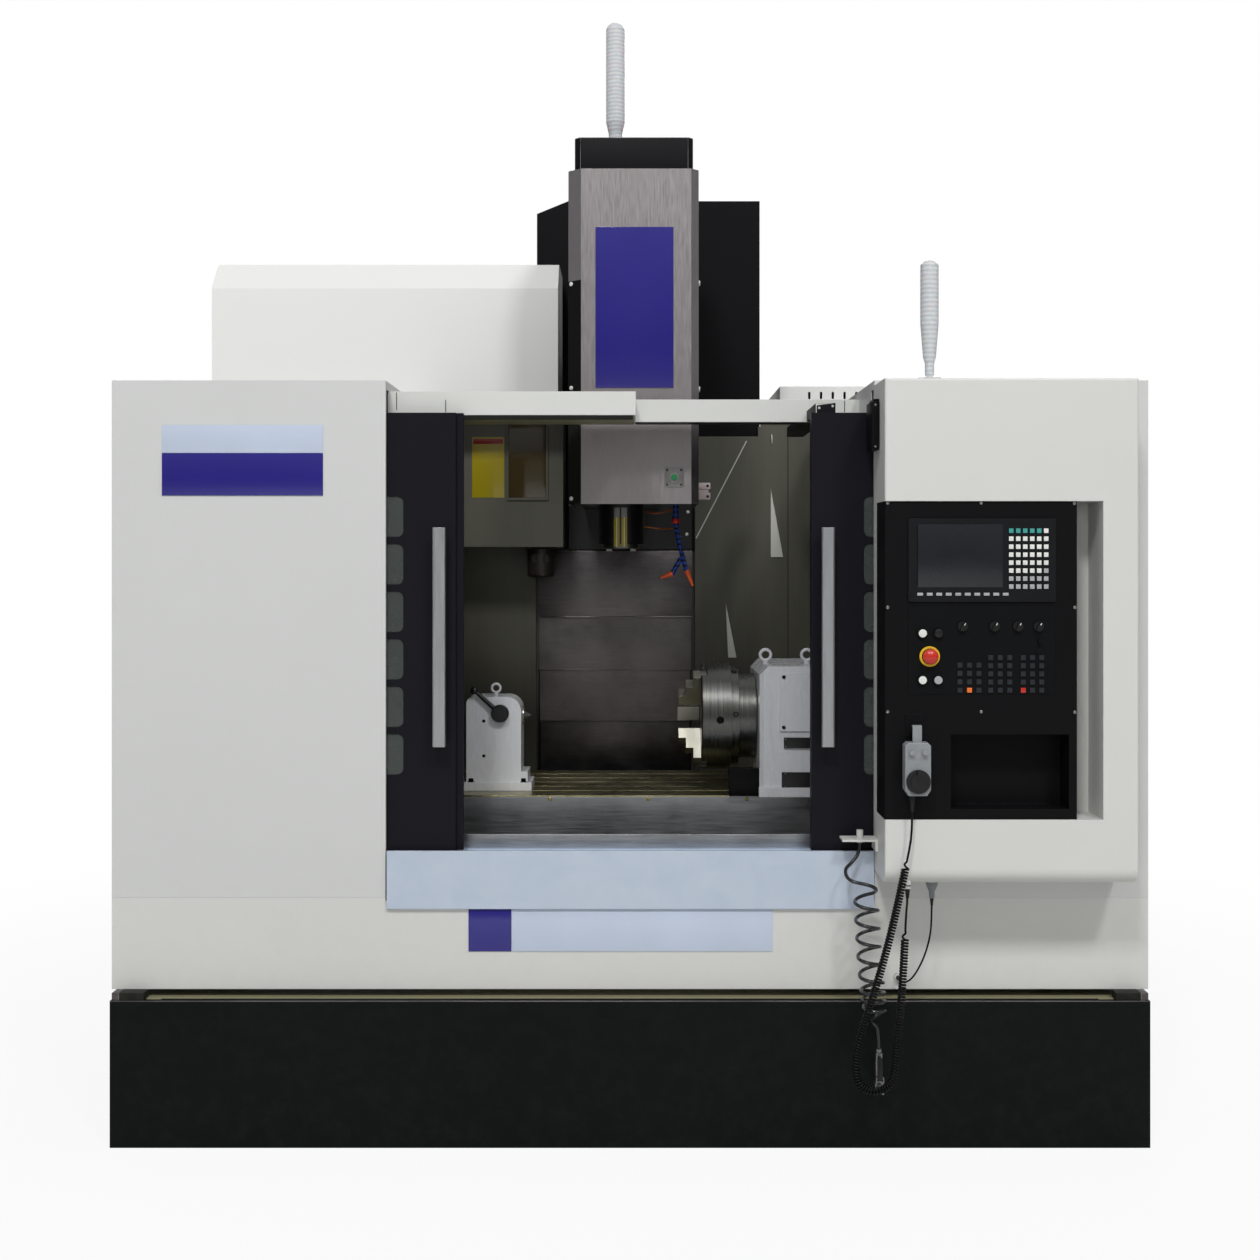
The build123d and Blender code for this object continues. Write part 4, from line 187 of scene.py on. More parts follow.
# %% [markdown]
# ## Painted sheet metal
#
# The casings are folded steel sheet with a baked powder coat. Such a coat is never a flat
# colour: it has a fine orange peel, a little dust that settles low down, and places where
# hands and cloths have polished it. One function makes every coat, so that the shells,
# doors and tank differ only in colour and sheen. The orange peel of the real coat is under
# a millimetre wide, too fine to show from five metres, so it is drawn at 9 mm here. A bevel
# node rounds the folds in the shading, where the solid model has sharp edges.

# %% Powder coat
PEEL_MM = 9.0
FOLD_MM = 2.5
DUST_BELOW_M = 0.9


def new_finish(name):
    """An empty material and its node tree."""
    made = bpy.data.materials.new(name)
    made.use_nodes = True
    made.node_tree.nodes.clear()
    return made, made.node_tree


def powder_coat(name, colour, shade, roughness, gloss=0.45, dust="#8C8676", dust_share=0.10):
    """Baked powder paint on sheet: colour and its darker shade, sheen and dust."""
    made, tree = new_finish(name)
    place = node(tree, "TexCoord").outputs["Object"]
    broad = node(tree, "TexNoise", {"Vector": place, "Scale": 1.7, "Detail": 3, "Roughness": 0.55})
    toned = node(tree, "Mix", {0: broad, 6: colour, 7: shade}, data_type="RGBA").outputs[2]
    height = node(tree, "SeparateXYZ", {0: place}).outputs["Z"]
    low = node(tree, "MapRange", {0: height, 1: DUST_BELOW_M, 2: 0.0, 3: 0.0, 4: 1.0})
    specks = node(tree, "TexNoise", {"Vector": place, "Scale": 24.0, "Detail": 6, "Roughness": 0.7})
    dusty = node(tree, "MapRange", {0: specks, 1: 0.45, 2: 0.75, 3: 0.0, 4: dust_share})
    share = node(tree, "Math", {0: low, 1: dusty}, operation="MULTIPLY")
    dirty = node(tree, "Mix", {0: share, 6: toned, 7: dust}, data_type="RGBA").outputs[2]
    rubbed = node(tree, "TexNoise", {"Vector": place, "Scale": 6.0, "Detail": 4})
    sheen = node(tree, "MapRange", {0: rubbed, 3: roughness - 0.06, 4: roughness + 0.08})
    edges = node(tree, "Bevel", {"Radius": mm(FOLD_MM)}, samples=4)
    peel = node(tree, "TexNoise", {"Vector": place, "Scale": 1 / mm(PEEL_MM), "Detail": 2})
    relief = {"Height": peel, "Distance": mm(0.12), "Strength": 0.5, "Normal": edges}
    bump = node(tree, "Bump", relief)
    look = {"Base Color": dirty, "Roughness": sheen, "Normal": bump, "Specular IOR Level": gloss}
    coat = node(tree, "BsdfPrincipled", look)
    node(tree, "OutputMaterial", {"Surface": coat})
    return made


pale_coat = powder_coat("pale_grey_powder_coat", "#D4D5D4", "#CFD0CF", 0.42)
white_coat = powder_coat("warm_white_powder_coat", "#D9D9D6", "#D3D3CF", 0.40)
roof_coat = powder_coat("bright_white_powder_coat", "#F1F1EE", "#ECECE9", 0.40)
# the beams take the warm white coat made a little lighter: painted light for beams that are lit
# less
beam_coat_lightened = powder_coat("warm_white_coat_lightened", "#DADBD7", "#D2D3CF", 0.42)
door_coat = powder_coat("blue_black_powder_coat", "#15141A", "#19181F", 0.42, 0.12, "#2C2C2E")
box_coat = powder_coat("jet_black_powder_coat", "#0C0C0E", "#111113", 0.45, 0.10, "#29292A")
tank_coat = powder_coat(
    "tank_black_gloss_paint", "#0A0D0D", "#0F1313", 0.38, 0.12, "#222524", 0.35
)
hood_coat = powder_coat("column_black_powder_coat", "#0C0C0F", "#111114", 0.48, 0.10, "#29292A")
print("materials of the floor and the coats:", len(bpy.data.materials))

# %% [markdown]
# ## Enamel on castings and fixtures
#
# Castings are filled, rubbed down and brushed or sprayed with thick enamel. The fixtures
# on the table, a tailstock and a rotary table, have a glossy silver-grey enamel that picks
# up coolant marks. The castings behind the guards have a duller grey-green one, and the
# head has a black one.

# %% Enamel
def enamel(name, colour, mark, roughness, lump_mm):
    """Thick enamel over a casting, with slow lumps from the filler and thin coolant marks."""
    made, tree = new_finish(name)
    place = node(tree, "TexCoord").outputs["Object"]
    runs = node(tree, "Mapping", {"Vector": place, "Scale": (26, 26, 5)})
    streak = node(tree, "TexNoise", {"Vector": runs, "Scale": 1.0, "Detail": 8, "Roughness": 0.65})
    marked = node(tree, "MapRange", {0: streak, 1: 0.55, 2: 0.78, 3: 0.0, 4: 0.5})
    tone = node(tree, "Mix", {0: marked, 6: colour, 7: mark}, data_type="RGBA").outputs[2]
    sheen = node(tree, "MapRange", {0: streak, 3: roughness - 0.05, 4: roughness + 0.12})
    lumps = node(tree, "TexNoise", {"Vector": place, "Scale": 1 / mm(lump_mm), "Detail": 2})
    edges = node(tree, "Bevel", {"Radius": mm(3)}, samples=4)
    relief = {"Height": lumps, "Distance": mm(0.8), "Strength": 0.35, "Normal": edges}
    bump = node(tree, "Bump", relief)
    look = {"Base Color": tone, "Roughness": sheen, "Normal": bump, "IOR": 1.52}
    coat = node(tree, "BsdfPrincipled", look)
    node(tree, "OutputMaterial", {"Surface": coat})
    return made


fixture_enamel = enamel("silver_grey_gloss_enamel", "#C9CACE", "#A5A49A", 0.24, 60)
black_enamel = enamel("black_head_enamel", "#0E0E0F", "#1B1A16", 0.35, 45)
casting_enamel = enamel("grey_green_casting_enamel", "#7C8581", "#565B55", 0.45, 45)
print("three enamels, materials so far:", len(bpy.data.materials))

# %% [markdown]
# ## Bare metal
#
# Bare metal shows how it was worked. A brushed sheet has long scratches in one direction,
# a ground or turned face has fine, short ones, and a spring-steel cover is smeared with
# way oil. One function draws all of them: noise stretched along the direction of work
# drives the roughness, the bump and a little of the colour. Oil is a second, broad noise
# that darkens and smooths.

# %% Worked metal
def worked_metal(
    name, colour, grain, grain_mm, roughness, oil="#4A4632", oil_share=0.0, contrast=0.12
):
    """Bare metal: grain is how far the scratches run along x, y and z, in times their width."""
    made, tree = new_finish(name)
    place = node(tree, "TexCoord").outputs["Object"]
    scratch_scale = [1 / mm(grain_mm) / run for run in grain]
    lines = node(tree, "Mapping", {"Vector": place, "Scale": scratch_scale})
    scratch = node(tree, "TexNoise", {"Vector": lines, "Scale": 1.0, "Detail": 5, "Roughness": 0.6})
    light = node(tree, "MapRange", {0: scratch, 1: 0.3, 2: 0.7, 3: 1 - contrast, 4: 1 + contrast})
    base = node(tree, "VectorMath", {0: colour, "Scale": light}, operation="SCALE")
    cloud = node(tree, "TexNoise", {"Vector": place, "Scale": 5.0, "Detail": 5, "Roughness": 0.6})
    film = node(tree, "MapRange", {0: cloud, 1: 0.42, 2: 0.7, 3: 0.0, 4: oil_share})
    tone = node(tree, "Mix", {0: film, 6: base, 7: oil}, data_type="RGBA").outputs[2]
    dull, dullest = roughness - 0.08, roughness + 0.10
    rough = node(tree, "MapRange", {0: scratch, 1: 0.25, 2: 0.75, 3: dull, 4: dullest})
    wet = node(tree, "Math", {0: film, 1: -0.15, 2: rough}, operation="MULTIPLY_ADD")
    edges = node(tree, "Bevel", {"Radius": mm(1.5)}, samples=4)
    relief = {"Height": scratch, "Distance": mm(0.06), "Strength": 0.4, "Normal": edges}
    bump = node(tree, "Bump", relief)
    look = {"Base Color": tone, "Metallic": 1.0, "Roughness": wet, "Normal": bump}
    metal = node(tree, "BsdfPrincipled", look)
    node(tree, "OutputMaterial", {"Surface": metal})
    return made


ANY_WAY = (3, 3, 3)
brushed_stainless = worked_metal(
    "brushed_stainless_sheet", "#A49E9F", (3, 3, 60), 0.9, 0.4, contrast=0.06
)
cover_steel = worked_metal("oiled_spring_steel", "#7A7576", (60, 3, 3), 1.6, 0.4, "#2A2827", 0.5)
guard_steel = worked_metal("brushed_guard_sheet", "#B0B1B4", (70, 3, 3), 1.5, 0.42, "#3B3B36", 0.3)
ground_steel = worked_metal("ground_tool_steel", "#8E8E8C", (3, 3, 12), 0.8, 0.34)
turned_steel = worked_metal(
    "turned_chuck_steel", "#626261", (2, 300, 300), 1.4, 0.3, "#6A6648", 0.3, 0.08
)
jaw_steel = worked_metal(
    "oiled_jaw_steel", "#97968E", (2, 20, 20), 1.6, 0.42, "#7E764A", 0.35, 0.05
)
table_iron = worked_metal(
    "ground_table_iron", "#A9A37C", (80, 3, 3), 1.6, 0.32, "#7D7436", 0.9, 0.08
)
handle_anodised = worked_metal(
    "satin_anodised_aluminium", "#BEBFC1", (2, 2, 60), 1.5, 0.4, contrast=0.05
)
brass = worked_metal("brass_bar", "#CDB65E", ANY_WAY, 1.0, 0.28)
print("worked metals ready, materials so far:", len(bpy.data.materials))

# %% [markdown]
# ## Plastics, rubber and glass
#
# The console's keys and knobs are moulded plastic with a fine spark-eroded texture. The
# cords are soft PVC with a waxy sheen. The door panes are milky safety glass, so they are
# seen as pale slots more than as windows.

# %% Moulded plastic
# a wave texture at scale 1 repeats every 0.314 m
WAVE_REPEAT = 0.314


def moulded(name, colour, roughness, grain_mm=2.5, shine=0.0, gloss=0.45, groove_shade_mm=0.0):
    """Moulded plastic with spark-eroded grain; shine adds a clear coat; a mm pitch paints shade
    bands.
    """
    made, tree = new_finish(name)
    place = node(tree, "TexCoord").outputs["Object"]
    cloud = node(tree, "TexNoise", {"Vector": place, "Scale": 14.0, "Detail": 3})
    light = node(tree, "MapRange", {0: cloud, 1: 0.3, 2: 0.7, 3: 0.94, 4: 1.06})
    base = node(tree, "VectorMath", {0: colour, "Scale": light}, operation="SCALE")
    if groove_shade_mm:
        # dark bands at this pitch paint the shade in the grooves between a jointed hose's segments
        repeat = {"Vector": place, "Scale": WAVE_REPEAT / mm(groove_shade_mm)}
        groove_bands = node(tree, "TexWave", repeat, bands_direction="Z").outputs["Fac"]
        groove_shade = node(tree, "MapRange", {0: groove_bands, 1: 0.2, 2: 0.5, 3: 0.12, 4: 1.0})
        base = node(tree, "VectorMath", {0: base, "Scale": groove_shade}, operation="SCALE")
    rough = node(tree, "MapRange", {0: cloud, 3: roughness - 0.05, 4: roughness + 0.07})
    grain = node(tree, "TexNoise", {"Vector": place, "Scale": 1 / mm(grain_mm), "Detail": 3})
    bump = node(tree, "Bump", {"Height": grain, "Distance": mm(0.08), "Strength": 0.3})
    look = {"Base Color": base, "Roughness": rough, "Normal": bump, "Specular IOR Level": gloss}
    look |= {"Coat Weight": shine, "Coat Roughness": 0.08}
    plastic = node(tree, "BsdfPrincipled", look)
    node(tree, "OutputMaterial", {"Surface": plastic})
    return made


bezel_plastic = moulded("charcoal_moulded_abs", "#131417", 0.42, gloss=0.2)
plate_film = moulded("matt_black_key_film", "#0B0C0E", 0.5, gloss=0.12)
black_knob = moulded("black_moulded_knob", "#121213", 0.34)
grey_case = moulded("mid_grey_moulded_case", "#8D9093", 0.45)
red_cap = moulded("signal_red_moulded_cap", "#C62A1E", 0.28, shine=0.4)
orange_cap = moulded("orange_moulded_cap", "#E8722A", 0.35)
yellow_ring = moulded("signal_yellow_ring", "#E8B829", 0.35)
green_cap = moulded("green_moulded_cap", "#1E7A46", 0.3, shine=0.4)
teal_cap = moulded("teal_moulded_key", "#3F9E97", 0.42)
white_cap_and_glint = moulded("white_moulded_key_and_painted_glint", "#E4E4E0", 0.42)
grey_cap = moulded("pale_grey_moulded_key", "#A9ABAC", 0.42)
pot_nylon = moulded("black_brown_nylon", "#231F1D", 0.4)
hose_blue = moulded("blue_jointed_hose_plastic", "#1C3F96", 0.32, groove_shade_mm=17)
hose_orange = moulded("orange_jointed_hose_plastic", "#E4602B", 0.32)
lead_grey = moulded("grey_metallised_plug", "#7F8184", 0.35)
cord_pvc = moulded("soft_black_pvc", "#0B0B0C", 0.4, grain_mm=1.5, gloss=0.15)
screen_glass = moulded("dark_screen_glass", "#1D1F24", 0.16, gloss=0.5)
print("moulded plastics ready, materials so far:", len(bpy.data.materials))

# %% Lamp lens, door glass and blank plates
lens_clear, tree = new_finish("frosted_acrylic_lens")
place = node(tree, "TexCoord").outputs["Object"]
bands = {"Vector": place, "Scale": 26.0, "Distortion": 0.3}
rings = node(tree, "TexWave", bands, bands_direction="Z").outputs["Fac"]
light = node(tree, "MapRange", {0: rings, 3: 0.82, 4: 1.0})
tone = node(tree, "VectorMath", {0: "#D9DCDF", "Scale": light}, operation="SCALE")
ribs = node(tree, "Bump", {"Height": rings, "Distance": mm(0.8), "Strength": 0.5})
look = {"Base Color": tone, "Roughness": 0.22, "Normal": ribs, "IOR": 1.49}
look |= {"Subsurface Weight": 0.25, "Subsurface Scale": 0.01}
look |= {"Coat Weight": 0.6, "Coat Roughness": 0.05}
acrylic = node(tree, "BsdfPrincipled", look)
node(tree, "OutputMaterial", {"Surface": acrylic})

pane_glass, tree = new_finish("milky_safety_glass")
place = node(tree, "TexCoord").outputs["Object"]
smear = node(tree, "TexNoise", {"Vector": place, "Scale": 9.0, "Detail": 5})
rough = node(tree, "MapRange", {0: smear, 3: 0.12, 4: 0.4})
milk = node(tree, "MapRange", {0: smear, 1: 0.35, 2: 0.7, 3: 0.35, 4: 0.5})
ripple = node(tree, "Bump", {"Height": smear, "Distance": mm(0.3), "Strength": 0.2})
look = {"Base Color": "#4E5552", "Roughness": rough, "Normal": ripple, "IOR": 1.5}
glass = node(tree, "BsdfPrincipled", look | {"Transmission Weight": milk})
node(tree, "OutputMaterial", {"Surface": glass})


def glossy_plate(name, colour, roughness=0.12):
    """A printed acrylic plate: flat colour under a clear, wavy gloss with fine wipe marks."""
    made, tree = new_finish(name)
    place = node(tree, "TexCoord").outputs["Object"]
    wipes = {"Vector": place, "Rotation": (0, 0.5, 0), "Scale": (4, 40, 60)}
    wiped = node(tree, "Mapping", wipes)
    marks = node(tree, "TexNoise", {"Vector": wiped, "Scale": 3.0, "Detail": 6})
    rough = node(tree, "MapRange", {0: marks, 3: roughness, 4: roughness + 0.06})
    slow = node(tree, "TexNoise", {"Vector": place, "Scale": 7.0, "Detail": 1})
    light = node(tree, "MapRange", {0: slow, 3: 0.94, 4: 1.06})
    base = node(tree, "VectorMath", {0: colour, "Scale": light}, operation="SCALE")
    wavy = node(tree, "Bump", {"Height": slow, "Distance": mm(0.5), "Strength": 0.25})
    look = {"Base Color": base, "Roughness": rough, "Normal": wavy, "IOR": 1.49}
    sheet = node(tree, "BsdfPrincipled", look | {"Coat Weight": 0.5})
    node(tree, "OutputMaterial", {"Surface": sheet})
    return made


blue_plate = glossy_plate("blue_printed_acrylic", "#241D7E")
pale_plate = glossy_plate("silver_grey_printed_acrylic", "#C2CDE0", 0.2)
yellow_print_and_highlight = glossy_plate("yellow_printed_film_and_painted_highlight", "#9C8C0C", 0.3)
red_plate = glossy_plate("red_printed_film", "#8E2219", 0.3)
amber_pane = glossy_plate("amber_brown_polycarbonate", "#453A22")
print("materials so far:", len(bpy.data.materials))

# %% [markdown]
# ## Guards inside the work zone
#
# The guards are painted sheet too, but years of coolant leave vertical runs and a film of
# oil. The paint is a dull olive grey, made darker towards the bottom. The sill under the
# doors still has the blue protective film of the stainless sheet it was cut from.

# %% Guard paint and filmed sill
guard_paint, tree = new_finish("olive_grey_guard_paint")
place = node(tree, "TexCoord").outputs["Object"]
runs = node(tree, "Mapping", {"Vector": place, "Scale": (9, 9, 1.2)})
drip = node(tree, "TexNoise", {"Vector": runs, "Scale": 1.0, "Detail": 7, "Roughness": 0.6})
dirt = node(tree, "MapRange", {0: drip, 1: 0.42, 2: 0.75, 3: 0.0, 4: 0.35})
height = node(tree, "SeparateXYZ", {0: place}).outputs["Z"]
# darker towards the bottom, from 2 m down to 0.7 m
low = node(tree, "MapRange", {0: height, 1: 2.0, 2: 0.7, 3: 0.0, 4: 0.6})
share = node(tree, "Math", {0: dirt, 1: low}, operation="ADD", use_clamp=True)
tone = node(tree, "Mix", {0: share, 6: "#5A594F", 7: "#302F29"}, data_type="RGBA").outputs[2]
sheen = node(tree, "MapRange", {0: drip, 3: 0.28, 4: 0.5})
edges = node(tree, "Bevel", {"Radius": mm(FOLD_MM)}, samples=4)
relief = {"Height": drip, "Distance": mm(0.3), "Strength": 0.3, "Normal": edges}
bump = node(tree, "Bump", relief)
paint = node(tree, "BsdfPrincipled", {"Base Color": tone, "Roughness": sheen, "Normal": bump})
node(tree, "OutputMaterial", {"Surface": paint})

sill_film, tree = new_finish("blue_filmed_stainless_sheet")
place = node(tree, "TexCoord").outputs["Object"]
folds = {"Vector": place, "Scale": 11.0, "Detail": 5, "Distortion": 0.6}
creases = node(tree, "TexNoise", folds)
lifted = node(tree, "MapRange", {0: creases, 1: 0.35, 2: 0.7, 3: 0.0, 4: 1.0})
tone = node(tree, "Mix", {0: lifted, 6: "#BFCBDC", 7: "#C6D1E1"}, data_type="RGBA").outputs[2]
edges = node(tree, "Bevel", {"Radius": mm(2)}, samples=4)
relief = {"Height": creases, "Distance": mm(0.5), "Strength": 0.3, "Normal": edges}
bump = node(tree, "Bump", relief)
look = {"Base Color": tone, "Metallic": 0.25, "Roughness": 0.36, "Normal": bump}
film = node(tree, "BsdfPrincipled", look | {"Coat Weight": 0.4, "Coat Roughness": 0.2})
node(tree, "OutputMaterial", {"Surface": film})
print("guard paint and sill film")

# %% [markdown]
# ## Finishes of the solid pieces
#
# Most solids keep their own shape, because a machine looks just like its sheets and
# castings. Each takes the finish that its real counterpart has.

# %% Finishes by piece
pieces_of = {
    pale_coat: "left_cabinet right_cabinet",
    roof_coat: "electrical_cabinet electrical_door magazine_cover",
    white_coat: "lower_front_panel console_housing",
    beam_coat_lightened: "roof_headers",
    door_coat: "left_door right_door",
    box_coat: "operator_box",
    tank_coat: "coolant_tank",
    hood_coat: "column_cover",
    handle_anodised: "left_door_handle right_door_handle",
    pane_glass: "left_door_windows right_door_windows",
    casting_enamel: "bed_casting column_casting saddle",
    black_enamel: "head_casting",
    fixture_enamel: "tailstock rotary_housing",
    brushed_stainless: "head_cover",
    cover_steel: "way_cover_2 way_cover_3",
    guard_steel: "table_guard",
    table_iron: "table",
    turned_steel: "rotary_chuck",
    jaw_steel: "chuck_jaw_1 chuck_jaw_2 chuck_jaw_3",
    ground_steel: "spindle tailstock_quill levelling_feet blow_gun",
    black_knob: "tailstock_lever selector_1 selector_2 selector_3 selector_4 pendant_wheel"
    " blow_gun_trigger",
    bezel_plastic: "display_unit",
    plate_film: "control_plate",
    red_cap: "emergency_stop",
    green_cap: "clamp_button",
    grey_case: "pendant_body",
    lens_clear: "console_lamp head_lamp",
    hose_blue: "coolant_nozzles",
    pot_nylon: "tool_pot",
    lead_grey: "console_plug",
    guard_paint: "inner_guards",
    sill_film: "sill_panel",
}
for material, names in pieces_of.items():
    for name in names.split():
        for place in nodes[name].material_slots:
            place.material = material
print("finishes in use on the solids:", len(pieces_of))

# %% [markdown]
# ## Building small pieces
#
# Screws, keys and plates are modelled as real shapes, with the edges that catch the light.
# One function adds a block with rounded edges, another adds a turned shape from its half
# outline, the way a lathe would, and a last one closes the mesh and tells which moving body
# of the machine it belongs to.

# %% Blocks, turned shapes and screws
def round_edges(mesh, corners, width, segments, profile):
    """Bevels every edge that meets one of these corners."""
    edges = list({edge for corner in corners for edge in corner.link_edges})
    shape = {"segments": segments, "profile": profile, "affect": "EDGES", "material": -1}
    bmesh.ops.bevel(mesh, geom=edges, offset=mm(width), **shape)


def add_block(mesh, x, y, z, rounding=0.0, slot=0):
    """A block between pairs of millimetres, its edges rounded, in one material slot."""
    corners = bmesh.ops.create_cube(mesh, size=1.0)["verts"]
    size = Vector((x[1] - x[0], y[1] - y[0], z[1] - z[0]))
    middle = Vector((x[0] + x[1], y[0] + y[1], z[0] + z[1])) / 2
    for corner in corners:
        corner.co = (middle + corner.co * size) / 1000
    for face in {face for corner in corners for face in corner.link_faces}:
        face.material_index = slot
    if rounding:
        round_edges(mesh, corners, rounding, 2, 0.6)


def add_turned(mesh, centre, along, outline, slot=0, sides=24):
    """A turned shape: its outline is radius and height along its axis, in millimetres."""
    axis = Vector(along).normalized()
    across = axis.orthogonal().normalized()
    other = axis.cross(across)
    rings = []
    for radius, height in outline:
        at = Vector(centre) + axis * height
        turns = [2 * math.pi * i / sides for i in range(sides if radius else 1)]
        spokes = [math.cos(turn) * across + math.sin(turn) * other for turn in turns]
        rings.append([mesh.verts.new((at + radius * spoke) / 1000) for spoke in spokes])
    for lower, upper in zip(rings, rings[1:]):
        for i in range(sides):
            pairs = ((lower, i), (lower, i + 1), (upper, i + 1), (upper, i))
            corners = [ring[k % sides % len(ring)] for ring, k in pairs]
            # a ring of one point gives triangles
            mesh.faces.new(dict.fromkeys(corners)).material_index = slot


FRONT = (0, -1, 0)
UP = (0, 0, 1)
DOWN = (0, 0, -1)


def add_screw(mesh, centre, radius, slot=0):
    """A pan head with a socket, sitting on a face."""
    heights = ((0, 0.15), (0.42, 0.15), (0.46, 0.62), (0.8, 0.55), (1.0, 0.25), (1.0, 0.0))
    add_turned(mesh, centre, FRONT, [(radius * r, radius * h) for r, h in heights], slot, 16)


def put_piece(mesh, name, finishes, body="machine"):
    """Closes a bmesh into a piece that rides on a body: the fixed machine or a moving one."""
    bmesh.ops.recalc_face_normals(mesh, faces=mesh.faces)
    data = bpy.data.meshes.new(name)
    mesh.to_mesh(data)
    mesh.free()
    for face in data.polygons:
        face.use_smooth = True
    data.set_sharp_from_angle(angle=math.radians(35))
    for finish in finishes:
        data.materials.append(finish)
    made = bpy.data.objects.new(name, data)
    bpy.context.collection.objects.link(made)
    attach(made, body)


def put_blocks(name, finishes, *blocks, body="machine", screws=(), radius=0.0):
    """A piece made of blocks, with screws of its second finish where it has any."""
    mesh = bmesh.new()
    for block in blocks:
        add_block(mesh, *block)
    for centre in screws:
        add_screw(mesh, centre, radius, 1)
    put_piece(mesh, name, finishes, body)


print("a screw head has", 16 * 5, "faces")

# %% [markdown]
# ## Cords and the air hose
#
# Each cord is one curve with a round bevel: a straight lead, the helix and the tail follow
# each other in one list of control points. The helix is wound round an axis line that is
# itself a smooth curve. The winding grows from the axis over its first turn and sinks back
# over its last, with a longer pitch there, as a real coiled cord does. Its length is
# measured on the finished curve.

# %% Curves and their length
def smooth_curve(name, points, resolution):
    """A NURBS curve object of the third order that starts and ends at its outer points."""
    data = bpy.data.curves.new(name, "CURVE")
    data.dimensions = "3D"
    data.resolution_u = resolution
    line = data.splines.new("NURBS")
    line.points.add(len(points) - 1)
    for spot, place in zip(line.points, points):
        spot.co = (*mm(*place), 1.0)
    line.order_u = 3
    line.use_endpoint_u = True
    made = bpy.data.objects.new(name, data)
    bpy.context.collection.objects.link(made)
    return made


def line_points(curve):
    """The points of a bare curve as Blender draws it, in metres."""
    bpy.context.view_layer.update()
    depsgraph = bpy.context.evaluated_depsgraph_get()
    drawn = bpy.data.meshes.new_from_object(curve.evaluated_get(depsgraph))
    places = [corner.co.copy() for corner in drawn.vertices]
    bpy.data.meshes.remove(drawn)
    return places


def line_length(places):
    """The length of a row of points."""
    return sum((b - a).length for a, b in zip(places, places[1:]))


def make_round(curve, radius, smoothness, finish):
    """Gives a curve a round section, end caps and a finish."""
    curve.data.bevel_depth = mm(radius)
    curve.data.bevel_resolution = smoothness
    curve.data.use_fill_caps = True
    curve.data.materials.append(finish)


print("curve helpers ready")

# %% Windings and cords
POINTS_PER_TURN = 14


def winding(axis_points, radius, pitches, end_pitch, start_angle=0.0, grows=True):
    """Helix points in millimetres round an axis line in a plane of constant y.

    pitches: pairs of how far along the axis a pitch reaches, and that pitch."""
    guide = smooth_curve("winding_guide", axis_points, 24)
    axis = line_points(guide)
    curve = guide.data
    bpy.data.objects.remove(guide)
    bpy.data.curves.remove(curve)
    whole = line_length(axis) * 1000
    sideways = Vector((0, 1, 0))
    made = []
    walked, step, angle, into = 0.0, 0, start_angle, 0.0
    while walked < whole:
        while step < len(axis) - 2 and walked - into > (axis[step + 1] - axis[step]).length * 1000:
            into += (axis[step + 1] - axis[step]).length * 1000
            step += 1
        run = (axis[step + 1] - axis[step]).normalized()
        centre = axis[step] * 1000 + run * (walked - into)
        near = (whole - walked) / end_pitch
        if grows:
            near = min(near, walked / end_pitch)
        near = min(max(near, 0.0), 1.0)
        share = near * near * (3 - 2 * near)
        outwards = math.cos(angle) * run.cross(sideways) + math.sin(angle) * sideways
        made.append(tuple(centre + outwards * radius * share))
        pitch = end_pitch if near < 1 else next(p for reach, p in pitches if walked <= reach)
        angle += 2 * math.pi / POINTS_PER_TURN
        walked += pitch / POINTS_PER_TURN
    return made


def lay_cord(name, points, thickness, finish, hides, resolution):
    """A round cord along its control points, measured, on the machine, in place of hidden solids.
    """
    made = smooth_curve(name, points, resolution)
    length = line_length(line_points(made))
    make_round(made, thickness / 2, 2, finish)
    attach(made, "machine")
    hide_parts(*hides)
    print(name, "is", round(length, 3), "m long with", len(points), "control points")


print("a winding has", POINTS_PER_TURN, "control points a turn")

# %% Pendant cord
CORD_Y = -1280
pendant_lead = [(738, CORD_Y, 975), (738, CORD_Y, 921), (735.2, CORD_Y, 867.1)]
loop_line = (
    *((725, 817), (691, 650), (640, 470), (592, 322), (590, 241), (620, 211)),
    *((662, 212), (692, 242), (697, 323), (713, 480), (720, 633)),
)
pendant_helix = winding([(x, CORD_Y, z) for x, z in loop_line], 8.2, [(2000, 7.8)], 26)
pendant_tail = [(721.4, CORD_Y, 663.6), (726, -1264, 688), (734, -1228, 700), (734, -1228, 731)]
pendant_points = pendant_lead + pendant_helix + pendant_tail
pendant_solids = ("pendant_cord", "pendant_cord_coil")
lay_cord("pendant_coiled_cord", pendant_points, 6, cord_pvc, pendant_solids, 2)

# %% Console cable
console_points = [
    *((735, -1064, 455), (735, -1088, 455), (742, -1112, 452), (762, -1140, 470)),
    *((791, -1148, 526), (809, -1150, 590), (812, -1150, 648), (812, -1150, 690)),
]
lay_cord("console_lead", console_points, 5, cord_pvc, ("console_cable",), 16)

# %% Air hose
HOSE_Y = -1150
hose_lead = [
    *((627, -1085, 830), (627, -1085, 802), (604, -1096, 776), (580, -1116, 760)),
    *((588, -1152, 736), (633, -1160, 729), (654, -1160, 722), (666, -1146, 711)),
]
hose_axis = [(635, HOSE_Y, 698), (641, HOSE_Y, 570), (652, HOSE_Y, 440), (666, HOSE_Y, 335)]
hose_helix = winding(hose_axis, 31.5, [(245, 49), (2000, 23)], 56, math.radians(45), grows=False)
hose_tail = [(669.5, HOSE_Y, 308.75), (669.5, HOSE_Y, 285)]
air_line = moulded("translucent_black_polyurethane", "#1B1C20", 0.22, shine=0.5)
hose_points = hose_lead + hose_helix + hose_tail
hose_solids = ("air_hose", "air_hose_coil")
lay_cord("air_hose_line", hose_points, 10, air_line, hose_solids, 4)

